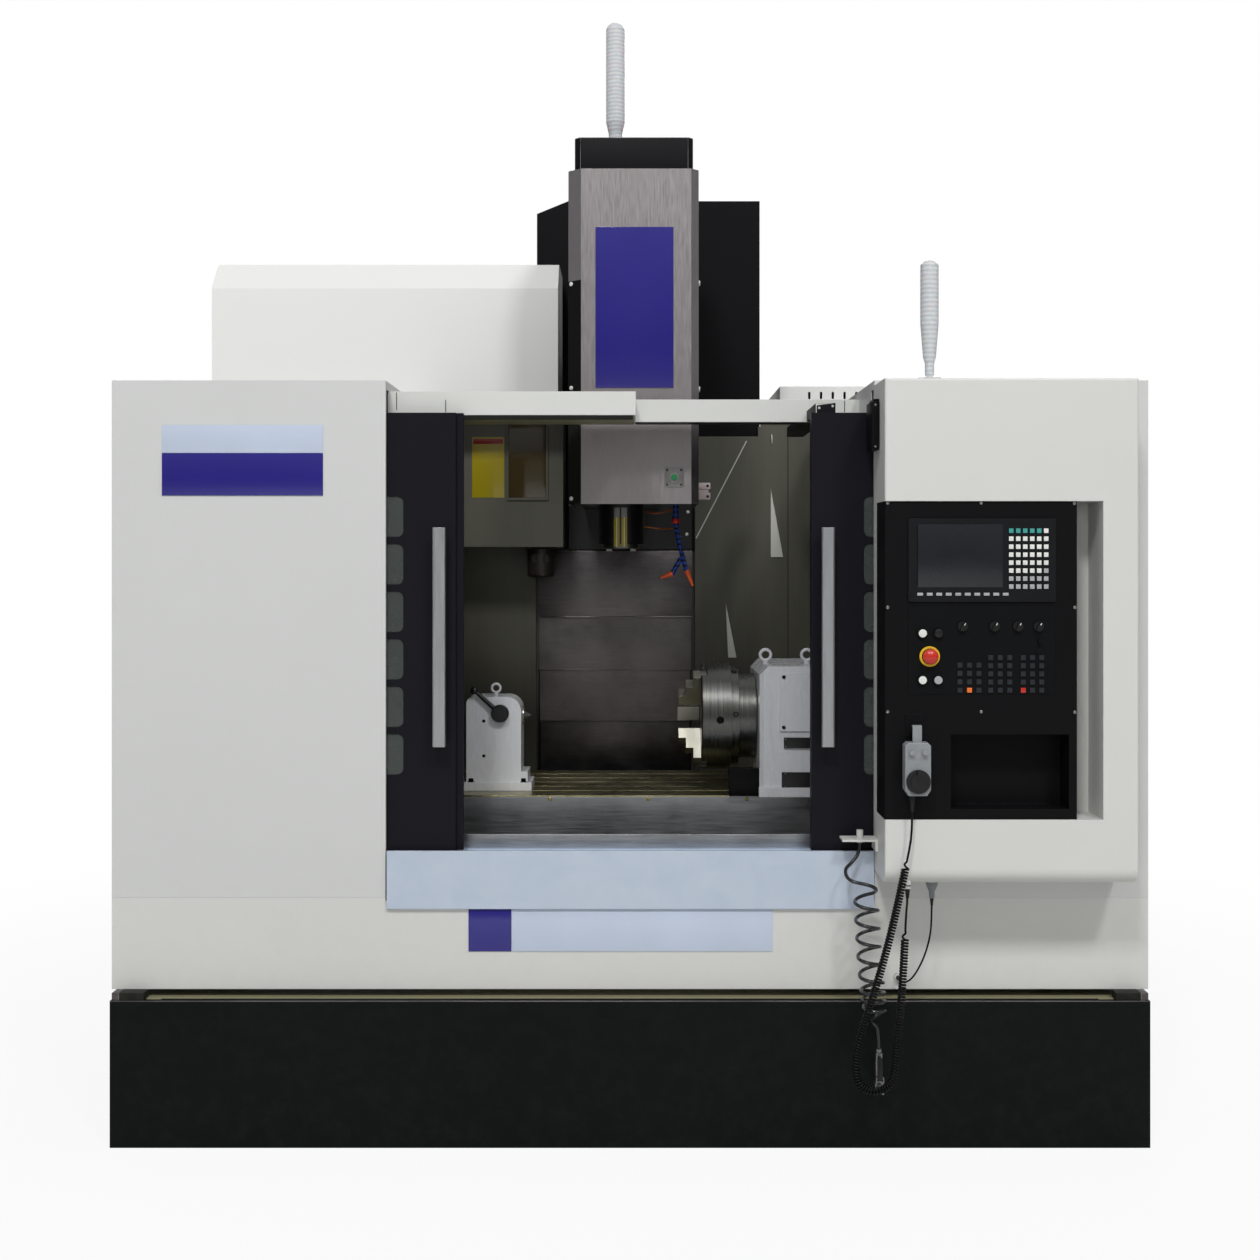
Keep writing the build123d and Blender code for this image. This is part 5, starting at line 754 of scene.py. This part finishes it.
# %% [markdown]
# ## Bend reliefs
#
# Where a cord leaves its case, a tapered rubber sleeve with ribs keeps it from kinking. Its
# outline swings in and out once for each rib.

# %% Ribbed sleeves
COLLAR = 3
RIBS = 6
sleeve_rubber = moulded("ribbed_black_rubber", "#101011", 0.55)


def ribbed_sleeve(name, foot, along, wide, narrow, length):
    """A tapered sleeve from its foot along the cord, with a rib for each step."""
    outline = [(0, 0), (wide * 1.15, 0), (wide * 1.15, COLLAR)]
    pitch = (length - COLLAR) / RIBS
    for i in range(RIBS):
        start = COLLAR + pitch * i
        crest = wide + (narrow - wide) * (i + 0.5) / RIBS
        groove = crest * 0.84
        outline += [(crest, start), (crest, start + pitch * 0.6)]
        outline += [(groove, start + pitch * 0.7), (groove, start + pitch)]
    outline.append((0, length))
    mesh = bmesh.new()
    add_turned(mesh, foot, along, outline, sides=20)
    put_piece(mesh, name, [sleeve_rubber])


ribbed_sleeve("pendant_sleeve", (738, -1280, 987), DOWN, 8.5, 4.4, 46)
ribbed_sleeve("pendant_socket_sleeve", (734, -1228, 741), DOWN, 8.0, 4.4, 36)
ribbed_sleeve("console_gland_sleeve", (735, -1050, 455), FRONT, 8.0, 3.6, 34)
ribbed_sleeve("console_plug_sleeve", (812, -1150, 698), DOWN, 6.0, 3.4, 28)
print("four sleeves")

# %% [markdown]
# ## Skins over shared solids
#
# The head's stainless casing and its black cap are one solid, and the fixed lengths of the
# telescopic cover belong to the head and to the guards. A thin skin, less than a millimetre
# proud, gives each its own finish. The skins have the folded lips that wipe the next length.
# On the head's left chamfer, dark skins paint the reflection of dark surroundings in its
# stainless.

# %% Head cap and side panel
dusk_coat = powder_coat("olive_black_powder_coat", "#232420", "#1C1D1A", 0.5, 0.1)
liner_paint = powder_coat("dull_olive_liner_paint", "#8F8B6E", "#858166", 0.5, 0.2)
cap_outline = (
    *((-167.6, -120), (-167.6, -560.3), (-150.3, -578.6)),
    *((176.3, -578.6), (191.6, -562.3), (191.6, -120)),
)
side_outline = (
    *((-148.4, -600.6), (-187.8, -561.2), (-187.8, -130)),
    *((-184.4, -130), (-184.4, -560), (-146, -598.4)),
)


def add_prism(mesh, outline, low, high, slot=0, rounding=0.0):
    """An upright prism on an outline of x and y, in millimetres."""
    foot = [mesh.verts.new(mm(x, y, low)) for x, y in outline]
    raised = bmesh.ops.extrude_face_region(mesh, geom=[mesh.faces.new(foot)])["geom"]
    top = [part for part in raised if isinstance(part, bmesh.types.BMVert)]
    bmesh.ops.translate(mesh, verts=top, vec=mm(0, 0, high - low))
    for face in {face for corner in top + foot for face in corner.link_faces}:
        face.material_index = slot
    if rounding:
        round_edges(mesh, top, rounding, 3, 0.5)


mesh = bmesh.new()
add_prism(mesh, cap_outline, 2780.5, 2880.6, rounding=4)
put_piece(mesh, "head_cap_skin", [hood_coat], "head")

mesh = bmesh.new()
# dark skins on the head's left chamfer paint the reflection of dark surroundings in its stainless:
# olive black low down, jet black above; the white caps are its screws
add_prism(mesh, side_outline, 1771, 2040, slot=2)
add_prism(mesh, side_outline, 2040.5, 2445)
small_cap, large_cap = ((0, 5), (4.5, 5), (6.5, 3.5), (6.5, 0)), ((0, 6), (7, 6), (9, 4), (9, 0))
for z in (1786, 2121, 2436):
    add_turned(mesh, (-177, -571.5, z), (-1, -1, 0), small_cap, slot=1, sides=16)
for z in (2120, 2443):
    add_turned(mesh, (207.6, -545, z), (1, 0, 0), large_cap, slot=1, sides=16)
put_piece(mesh, "head_chamfer_painted_reflection", [box_coat, white_cap_and_glint, dusk_coat], "head")
print("head cap and side panel")

# %% Lengths of the telescopic cover
LENGTH_STEP = 3.0


def way_skin(name, body, index, foot, top=None):
    """A wiper lip on one length of the telescopic cover, below a front skin if it has a top."""
    inset = LENGTH_STEP * index
    back = 234.3 + inset
    blocks = []
    if top:
        skin_x = (-322.5 + inset, 217.5 - inset)
        blocks.append((skin_x, (231.5 + inset, back), (foot, top), 0.2))
    lip_x = (-322 + inset, 217 - inset)
    blocks.append((lip_x, (230 + inset, back), (foot, foot + 5), 0.8))
    put_blocks(name, [cover_steel], *blocks, body=body)


way_skin("way_cover_1_skin", "head", 0, 1397, 1631.5)
way_skin("way_cover_4_skin", "machine", 3, 852, 1063)
way_skin("way_cover_2_lip", "way_cover_2", 1, 1213)
way_skin("way_cover_3_lip", "way_cover_3", 2, 1033)
print("telescopic cover skinned")

# %% [markdown]
# ## Blank name plates
#
# The plates are printed acrylic, stuck on with foam tape. They are left blank: only their
# fields of colour are shown.

# %% Plates
PANEL_FACE = -1050
HEAD_FACE = -600
MAGAZINE_WALL = 25


def plate(name, y, fields, thickness=2.5, body="machine"):
    """A plate on a front face at y: each field has its limits in x and z, and a finish."""
    finishes = list(dict.fromkeys(finish for *_, finish in fields))
    blocks = [
        ((left, right), (y - thickness, y), (low, high), 0.7, finishes.index(finish))
        for left, right, low, high, finish in fields
    ]
    put_blocks(name, finishes, *blocks, body=body)


lower = (-444, -326.4, 524, 642, blue_plate), (-325.6, 392, 524, 642, pale_plate)
left = (-1287, -844, 1777, 1893.6, blue_plate), (-1287, -844, 1894.4, 1971, pale_plate)
label = (-534, -425, 1811, 2016, yellow_print_and_highlight)
band = (-530, -429, 1992, 2010, red_plate)
pane = (-409, -285, 1811, 2059, amber_pane)
plate("lower_name_plate", PANEL_FACE, lower)
plate("left_panel_plate", PANEL_FACE, left)
plate("head_plate", HEAD_FACE, [(-104, 131, 2119, 2604, blue_plate)], body="head")
plate("magazine_wall_label", MAGAZINE_WALL, [label], 1.0)
plate("magazine_wall_label_band", MAGAZINE_WALL - 0.8, [band], 0.8)
plate("magazine_window_pane", MAGAZINE_WALL - 0.5, [pane], 3.0)
print("plates placed, all of them blank")

# %% [markdown]
# ## Screws
#
# Screws are where a large plain machine shows its scale, so they go where the real one has
# them: round the operator's box and the clamp button, and along the table's guard.

# %% Screws by face
BOX_FACE = -1245
screw_steel = worked_metal("zinc_plated_screw", "#A8A9A6", ANY_WAY, 0.8, 0.3)
dark_screw = worked_metal("blackened_screw", "#2A2A2B", ANY_WAY, 0.8, 0.34)


def screw_row(name, body, y, places, radius, finish):
    """Pan-head screws on one front face, each place an x and a z in millimetres."""
    mesh = bmesh.new()
    for x, z in places:
        add_screw(mesh, (x, y, z), radius)
    put_piece(mesh, name, [finish], body)


box_screws = (
    *((679, 1750), (925, 1750), (1171, 1749), (679, 1475)),
    *((1172, 1475), (679, 1200), (925, 1200), (1172, 1199)),
)
clamp_screws = [(133 + dx, 1849 + dz) for dx in (-21, 21) for dz in (-22, 22)]
housing_screws = [(565 + dx, 1182 + dz) for dx in (-113, 0, 113) for dz in (-74, 74)]
clamp_face = (105.2, 160.8), (-603.4, -600.5), (1820.2, 1877.8), 1.2
screw_row("operator_box_screws", "machine", BOX_FACE, box_screws, 4.6, screw_steel)
put_blocks("clamp_plate_face", [ground_steel], clamp_face, body="head")
screw_row("clamp_plate_screws", "head", -603.4, clamp_screws, 3.2, dark_screw)
screw_row("carriage_screws", "head", 235, [(203, 1768), (199, 1690)], 6.0, white_cap_and_glint)
screw_row("table_guard_screws", "table", -693, [(x, 892) for x in (-237, 54, 346)], 5.5, brass)
screw_row("housing_pad_screws", "table", -730, housing_screws, 5.5, dark_screw)
print("screws placed")

# %% [markdown]
# ## The console's keys and buttons
#
# The keys are separate mouldings in the real plate. Coloured caps sit on the raised keys of
# the solid model, in its own rows and columns, so a single pair of loops lays each block.

# %% Keys
KEY_FACE = -1247.5


def key_caps(name, first_x, first_z, pitch_x, pitch_z, y, size, colours):
    """Caps in rows from the top left: colours is one list of finishes for each row."""
    finishes = list(dict.fromkeys(finish for row in colours for finish in row))
    half = size / 2
    blocks = []
    for row, finish_row in enumerate(colours):
        for column, finish in enumerate(finish_row):
            x = first_x + column * pitch_x
            z = first_z - row * pitch_z
            sides = (x - half, x + half), (y - 1.4, y + 0.2), (z - half, z + half)
            blocks.append((*sides, 0.8, finishes.index(finish)))
    put_blocks(name, finishes, *blocks)


dark_cap = moulded("slate_moulded_key", "#25282D", 0.42, gloss=0.3)
teal_row, white_row = [teal_cap] * 5 + [white_cap_and_glint], [white_cap_and_glint] * 6
data_rows = [teal_row] + [white_row] * 4 + [[white_cap_and_glint] * 5 + [grey_cap]] + [[grey_cap] * 6] * 2
dark_rows = [[dark_cap] * 3] * 5
left_rows = dark_rows[:3] + [[dark_cap, orange_cap, dark_cap]]
right_rows = dark_rows[:4] + [[red_cap, dark_cap, dark_cap]]
soft_keys = [
    ((x - 7.6, x + 7.6), (-1253.4, -1249.8), (1506.2, 1513.8), 0.8)
    for x in (763.5 + 25 * i for i in range(10))
]
key_caps("data_key_caps", 1003, 1677, 18.4, 21, -1252, 12, data_rows)
put_blocks("soft_key_caps", [grey_cap], *soft_keys)
key_caps("panel_key_caps_left", 869, 1323, 25, 22, KEY_FACE, 13, left_rows)
key_caps("panel_key_caps_middle", 950, 1343, 25, 21.5, KEY_FACE, 13, dark_rows)
key_caps("panel_key_caps_right", 1035.7, 1343, 24.3, 21.5, KEY_FACE, 13, right_rows)
print("keys capped")

# %% Buttons, screen and selector marks
mesh = bmesh.new()
button = ((0, 1.2), (8.5, 1.2), (10.6, 0.4), (10.6, -0.4))
for x, z, slot in ((770, 1407, 0), (812, 1407, 1), (770, 1284, 0), (811, 1284, 2)):
    add_turned(mesh, (x, -1255, z), FRONT, button, slot)
put_piece(mesh, "push_button_caps", [white_cap_and_glint, black_knob, grey_cap])

mesh = bmesh.new()
collar = ((21, 0.1), (21, 0.9), (26, 0.9), (26.9, -0.2), (26.9, -4.5))
add_turned(mesh, (789, -1251, 1346), FRONT, collar, sides=40)
put_piece(mesh, "stop_ring", [yellow_ring])

screen = (758, 981), (-1251, -1249.6), (1528, 1694), 0.5
put_blocks("screen_glass_sheet", [screen_glass], screen)

MARK_ANGLE = math.radians(60)
for number, x in enumerate((876, 960, 1022, 1076), start=1):
    dots = []
    for reach in (5, 7, 9):
        dx, dz = x + reach * math.cos(MARK_ANGLE), 1425 + reach * math.sin(MARK_ANGLE)
        dots.append(((dx - 1.1, dx + 1.1), (-1263.1, -1261), (dz - 1.1, dz + 1.1), 0.3))
    put_blocks(f"selector_mark_{number}", [white_cap_and_glint], *dots, body=f"selector_{number}")
print("console fitted")

# %% Spindle nose highlights and nozzle tips
NOSE_X, NOSE_Y, NOSE_RADIUS = -28, -340, 73


def add_nose_highlight(mesh, left, width, low, high, proud, slot):
    """A strip of painted highlight bent round the spindle's nose."""
    steps = 6
    columns = []
    for i in range(steps + 1):
        x = left + width * i / steps
        rows = []
        for radius in (NOSE_RADIUS - 0.4, NOSE_RADIUS + proud):
            y = NOSE_Y - math.sqrt(radius**2 - (x - NOSE_X) ** 2)
            rows += [mesh.verts.new(mm(x, y, z)) for z in (low, high)]
        columns.append(rows)
    for a, b in zip(columns, columns[1:]):
        for i, j in ((2, 3), (3, 1), (1, 0), (0, 2)):
            mesh.faces.new((a[i], a[j], b[j], b[i])).material_index = slot
    for rows in (columns[0], columns[-1]):
        mesh.faces.new((rows[0], rows[1], rows[3], rows[2])).material_index = slot


# the strips paint the highlight on the oiled nose: yellow where its yellow oil film shines, bare
# steel higher up at the flange, and narrow white strips for the brightest glints
mesh = bmesh.new()
for left in (-50.5, -27):
    add_nose_highlight(mesh, left, 18, 1642, 1734, 0.5, 0)
    add_nose_highlight(mesh, left, 18, 1734.5, 1764, 0.5, 1)
    add_nose_highlight(mesh, left + 8, 2, 1642, 1734, 0.9, 2)
put_piece(mesh, "nose_painted_highlights", [yellow_print_and_highlight, ground_steel, white_cap_and_glint], "head")

mesh = bmesh.new()
for foot, tip in (((180, -300, 1566), (200, -300, 1518)), ((134, -300, 1556), (98, -300, 1543))):
    run = Vector(tip) - Vector(foot)
    end, bottom = run.length + 0.5, run.length - 4
    outside = ((0, -1.0), (9.8, -1.0), (9.8, 3), (8.8, 5), (3.9, end))
    add_turned(mesh, foot, run, (*outside, (2.4, end), (2.4, bottom), (0, bottom)))
put_piece(mesh, "nozzle_tips", [hose_orange], "head")

mesh = bmesh.new()
ring = ((9, -0.5), (12.6, -0.5), (12.9, 1), (12.9, 13), (12.2, 14), (9, 14))
add_turned(mesh, (146, -300, 1717), UP, ring)
put_piece(mesh, "manifold_ring", [red_cap], "head")
print("nose and nozzles")

# %% Hoses and connector beside the nose
amber_tube = moulded("amber_polyurethane_tube", "#8A4A1C", 0.2, shine=0.6)


def fixed_tube(name, body, points, radius, finish):
    """A rigid tube along a smooth line, closed at both ends."""
    made = smooth_curve(name, points, 8)
    make_round(made, radius, 3, finish)
    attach(made, body)


upper = [(40, -300, 1758), (64, -316, 1748), (104, -322, 1750), (138, -306, 1762)]
lower = [(40, -330, 1706), (70, -338, 1703), (104, -330, 1698), (137, -308, 1700)]
fixed_tube("coolant_tube_upper", "head", upper, 3.0, amber_tube)
fixed_tube("coolant_tube_lower", "head", lower, 3.0, amber_tube)

rose_block = moulded("rose_grey_terminal_block", "#BDB1B1", 0.4)
put_blocks(
    "head_terminal_block",
    [rose_block, dark_screw],
    ((207, 252), (-402, -358), (1789, 1811), 3),
    ((207, 246), (-398, -362), (1811, 1822), 2),
    ((207, 252), (-402, -358), (1822, 1842), 3),
    body="head",
    screws=[(243, -402, z) for z in (1799, 1832)],
    radius=4.2,
)
print("hoses and terminal block")

# %% [markdown]
# ## Sheet work of the guards
#
# Guards are screwed together from many sheets, and it shows: seams with sealant, rubber
# beside the column, and aprons that close the back wall down to the chip slopes. A dark
# strip under the left beam paints the shadow line along its lower edge.

# %% Seams, trims and seals
BACK_WALL = 250
BACK_SHEET = (250.2, 252.8)


def add_bar(mesh, start, end, width, depth):
    """A flat bar on a front face from one place to another, proud by its depth."""
    a, b = Vector(start), Vector(end)
    across = (b - a).normalized().cross(Vector((0, 1, 0))) * width / 2
    front = Vector((0, -depth, 0))
    offsets = (-across, -across + front, across, across + front)
    corners = [mesh.verts.new((place + offset) / 1000) for place in (a, b) for offset in offsets]
    for loop in ("0132", "4675", "0451", "2376", "0264", "1573"):
        mesh.faces.new([corners[int(i)] for i in loop])


def add_slab(mesh, outline, front, back):
    """An upright sheet between two places in y, on an outline of x and z, in millimetres."""
    corners = [mesh.verts.new(mm(x, y, z)) for y in (front, back) for x, z in outline]
    count = len(outline)
    mesh.faces.new(corners[:count])
    mesh.faces.new(corners[count:])
    for i in range(count):
        j = (i + 1) % count
        mesh.faces.new((corners[i], corners[j], corners[count + j], corners[count + i]))


seam_sealant = moulded("dark_joint_sealant", "#1B1B17", 0.5, gloss=0.2)
mesh = bmesh.new()
add_bar(mesh, (555, BACK_WALL, 770), (555, BACK_WALL, 2030), 2.4, 0.8)
beam_seams = ((628.6, -746, 2033, 2066), (-650.7, -986, 2018, 2067), (-513.8, -986, 2012, 2046))
for x, y, low, high in beam_seams:
    add_bar(mesh, (x, y, low), (x, y, high), 2.2, 0.6)
put_piece(mesh, "sheet_seams", [seam_sealant])

put_blocks(
    "black_trim",
    [dusk_coat, liner_paint],
    # closes the view between the guard's edge and the head's carriage
    ((214, 232), (264.6, 268.6), (1630, 2036), 0.5),
    # a dark strip under the left beam paints the shadow line at its lower edge, and the runner
    # crosses the beams
    ((-664.6, 8.6), (-984.8, -980.4), (1991.4, 2003.9), 0.6),
    ((517.4, 570.6), (-985.4, -672.5), (2005.3, 2036.6), 0.8),
    ((517.4, 570.6), (-671.5, -117), (2005.3, 2036.6), 0.8),
    # liners under both beams, the left one olive
    ((-664, 12), (-980, -674), (2002.2, 2003.8), 0.4, 1),
    ((16.5, 668), (-745, -674), (2002.2, 2003.8), 0.4),
)
# rubber strips close the gap between the column and the guards' back wall
seals = (((-322, -291), (253.4, 300)), ((185, 216), (265.4, 300)))
put_blocks("column_side_seals", [sleeve_rubber], *((*seal, (606, 2050), 2.0) for seal in seals))

# aprons below the back wall, down to the chip slopes and the bed
mesh = bmesh.new()
for wall, slope, edge, opening in ((-1198, -470, -469, -331), (1198, 414, 413, 229)):
    apron = ((wall, 712), (wall, 709), (slope, 587), (edge, 603), (opening, 603), (opening, 712))
    add_slab(mesh, apron, *BACK_SHEET)
put_piece(mesh, "back_wall_aprons", [guard_paint])
print("seams, trims and seals")

# %% Tank, sill, painted light on the back wall and hook
# a grey lid over the trough; its pale grey paints the sheen that the tank's black top shows at a
# low angle
put_blocks("tank_lid_painted_sheen", [liner_paint], ((-1385, 1385), (-1071, -960), (396, 399.4), 0.6))
REST_Y, REST_Z = (-1095.8, -1050.4), (400.2, 420.8)
# a full-width grey strip along the tank's front top edge paints its highlight
rests_shade_and_highlight = [((-1416, 1416), (-1099.4, -1096.6), (397.6, 400.4), 0.5, 1)]
# dark skins on the corner rests paint the shade at both ends of the gap under the panel; grey steel
# blocks sit outside them
for side in (-1, 1):
    rests_shade_and_highlight.append((sorted((side * 1324.2, side * 1392)), REST_Y, REST_Z, 0.6))
    rests_shade_and_highlight.append((sorted((side * 1392.2, side * 1412)), REST_Y, REST_Z, 2.0, 1))
put_blocks("tank_rests_painted_shade_and_highlight", [dusk_coat, cover_steel], *rests_shade_and_highlight)
put_blocks("guard_top_strip", [guard_paint], ((457.5, 668), BACK_SHEET, (2068, 2087), 0.5))
splash_lip = (-667.5, 669.5), (-964, -956.4), (795, 831.8), 1.0
put_blocks("sill_splash_lip", [guard_steel], splash_lip)

put_blocks(
    "door_switch_bracket",
    [box_coat, screw_steel],
    ((648, 670.6), (-1160, -1064), (1896, 2026), 3),
    ((655, 670.6), (-1152, -1070), (2026, 2034), 2),
    screws=[(659, -1160, z) for z in (1905, 2017)],
    radius=3.2,
)

# a pale bar and two pale triangles on the back wall paint streaks of light falling on it
mesh = bmesh.new()
add_bar(mesh, (409.5, BACK_WALL, 2018), (232, BACK_WALL, 1676), 4.0, 4.0)
add_slab(mesh, ((494.6, 1850), (538, 1610), (494.6, 1610)), BACK_WALL, BACK_WALL - 4)
add_slab(mesh, ((336, 1450), (374, 1257), (345, 1257)), BACK_WALL, BACK_WALL - 3)
light_streak_paint = powder_coat("pale_olive_painted_light", "#CFD0C8", "#C2C3BB", 0.4)
put_piece(mesh, "back_wall_painted_light", [light_streak_paint])
hook = [(498, 249, 2040), (498, 240, 2034), (498, 238, 2016), (500, 244, 2008)]
fixed_tube("wall_hook", "machine", hook, 1.6, white_cap_and_glint)
print("guards detailed")

# %% [markdown]
# ## Dark fittings on the fixtures
#
# The tailstock and the rotary table are pale, so their black fittings stand out: clamp
# nuts, socket plugs in the chuck and two blank plates under the cover pad. Black plugs in
# the tailstock's two holes paint the shade inside them.

# %% Fixture fittings
black_oxide = worked_metal("black_oxide_steel", "#1E1E1F", ANY_WAY, 0.8, 0.36, contrast=0.05)
washer = ((0, 0), (13, 0), (13, 2), (0, 2))
nut = ((0, 0), (11.2, 0), (11.2, 8.5), (9.5, 10), (0, 10))
stud = ((0, 0), (5, 0), (5, 6), (4, 7), (0, 7))
hole_shade_plug = ((4.9, -4), (4.9, -0.2), (2.6, -0.2), (2.4, -2.5), (0, -2.5))
mesh = bmesh.new()
for x in (-480, -321):
    for y in (-581, -459):
        for z, outline, sides in ((928.7, washer, 24), (930.5, nut, 6), (938, stud, 16)):
            add_turned(mesh, (x, y, z), UP, outline, sides=sides)
# black plugs in the tailstock's two holes paint the shade inside them
for z in (1113, 1008):
    add_turned(mesh, (-442, -588, z), FRONT, hole_shade_plug, sides=16)
add_block(mesh, (291.4, 381.5), (-715.6, -688.4), (903.5, 985.8), 2.0)
put_piece(mesh, "fixture_black_fittings", [black_oxide], "table")

corners = (-731.5, 1052), (-731.5, 1073), (-727, 932), (-727, 971)
put_blocks(
    "housing_blank_plates",
    [black_knob, screw_steel],
    ((452, 640), (-731.5, -725), (1047, 1078), 0.6),
    ((446, 640), (-727, -724.5), (927, 976), 0.6),
    body="table",
    screws=[(x, *corner) for x in (457, 635) for corner in corners],
    radius=1.8,
)
print("fittings of the tailstock and the rotary table")

# %% Chuck sockets
CHUCK_AXIS = (-520, 1125)
key_socket = ((10.9, -8), (10.9, 0.8), (8, 0.8), (6.5, -6), (0, -6))
bolt_head = ((8, -2), (8, 2.4), (5, 2.4), (4, -1), (0, -1))
rings = ((3, 0, 268, 161, key_socket, 24), (6, 6, 315, 149, bolt_head, 16))
mesh = bmesh.new()
for count, lead, x, radius, outline, sides in rings:
    for turn in range(count):
        angle = math.radians(360 / count * turn + lead)
        out = Vector((0, -math.cos(angle), math.sin(angle)))
        add_turned(mesh, Vector((x, *CHUCK_AXIS)) + out * radius, out, outline, sides=sides)
put_piece(mesh, "chuck_sockets", [black_oxide], "chuck")
print("fixtures fitted")
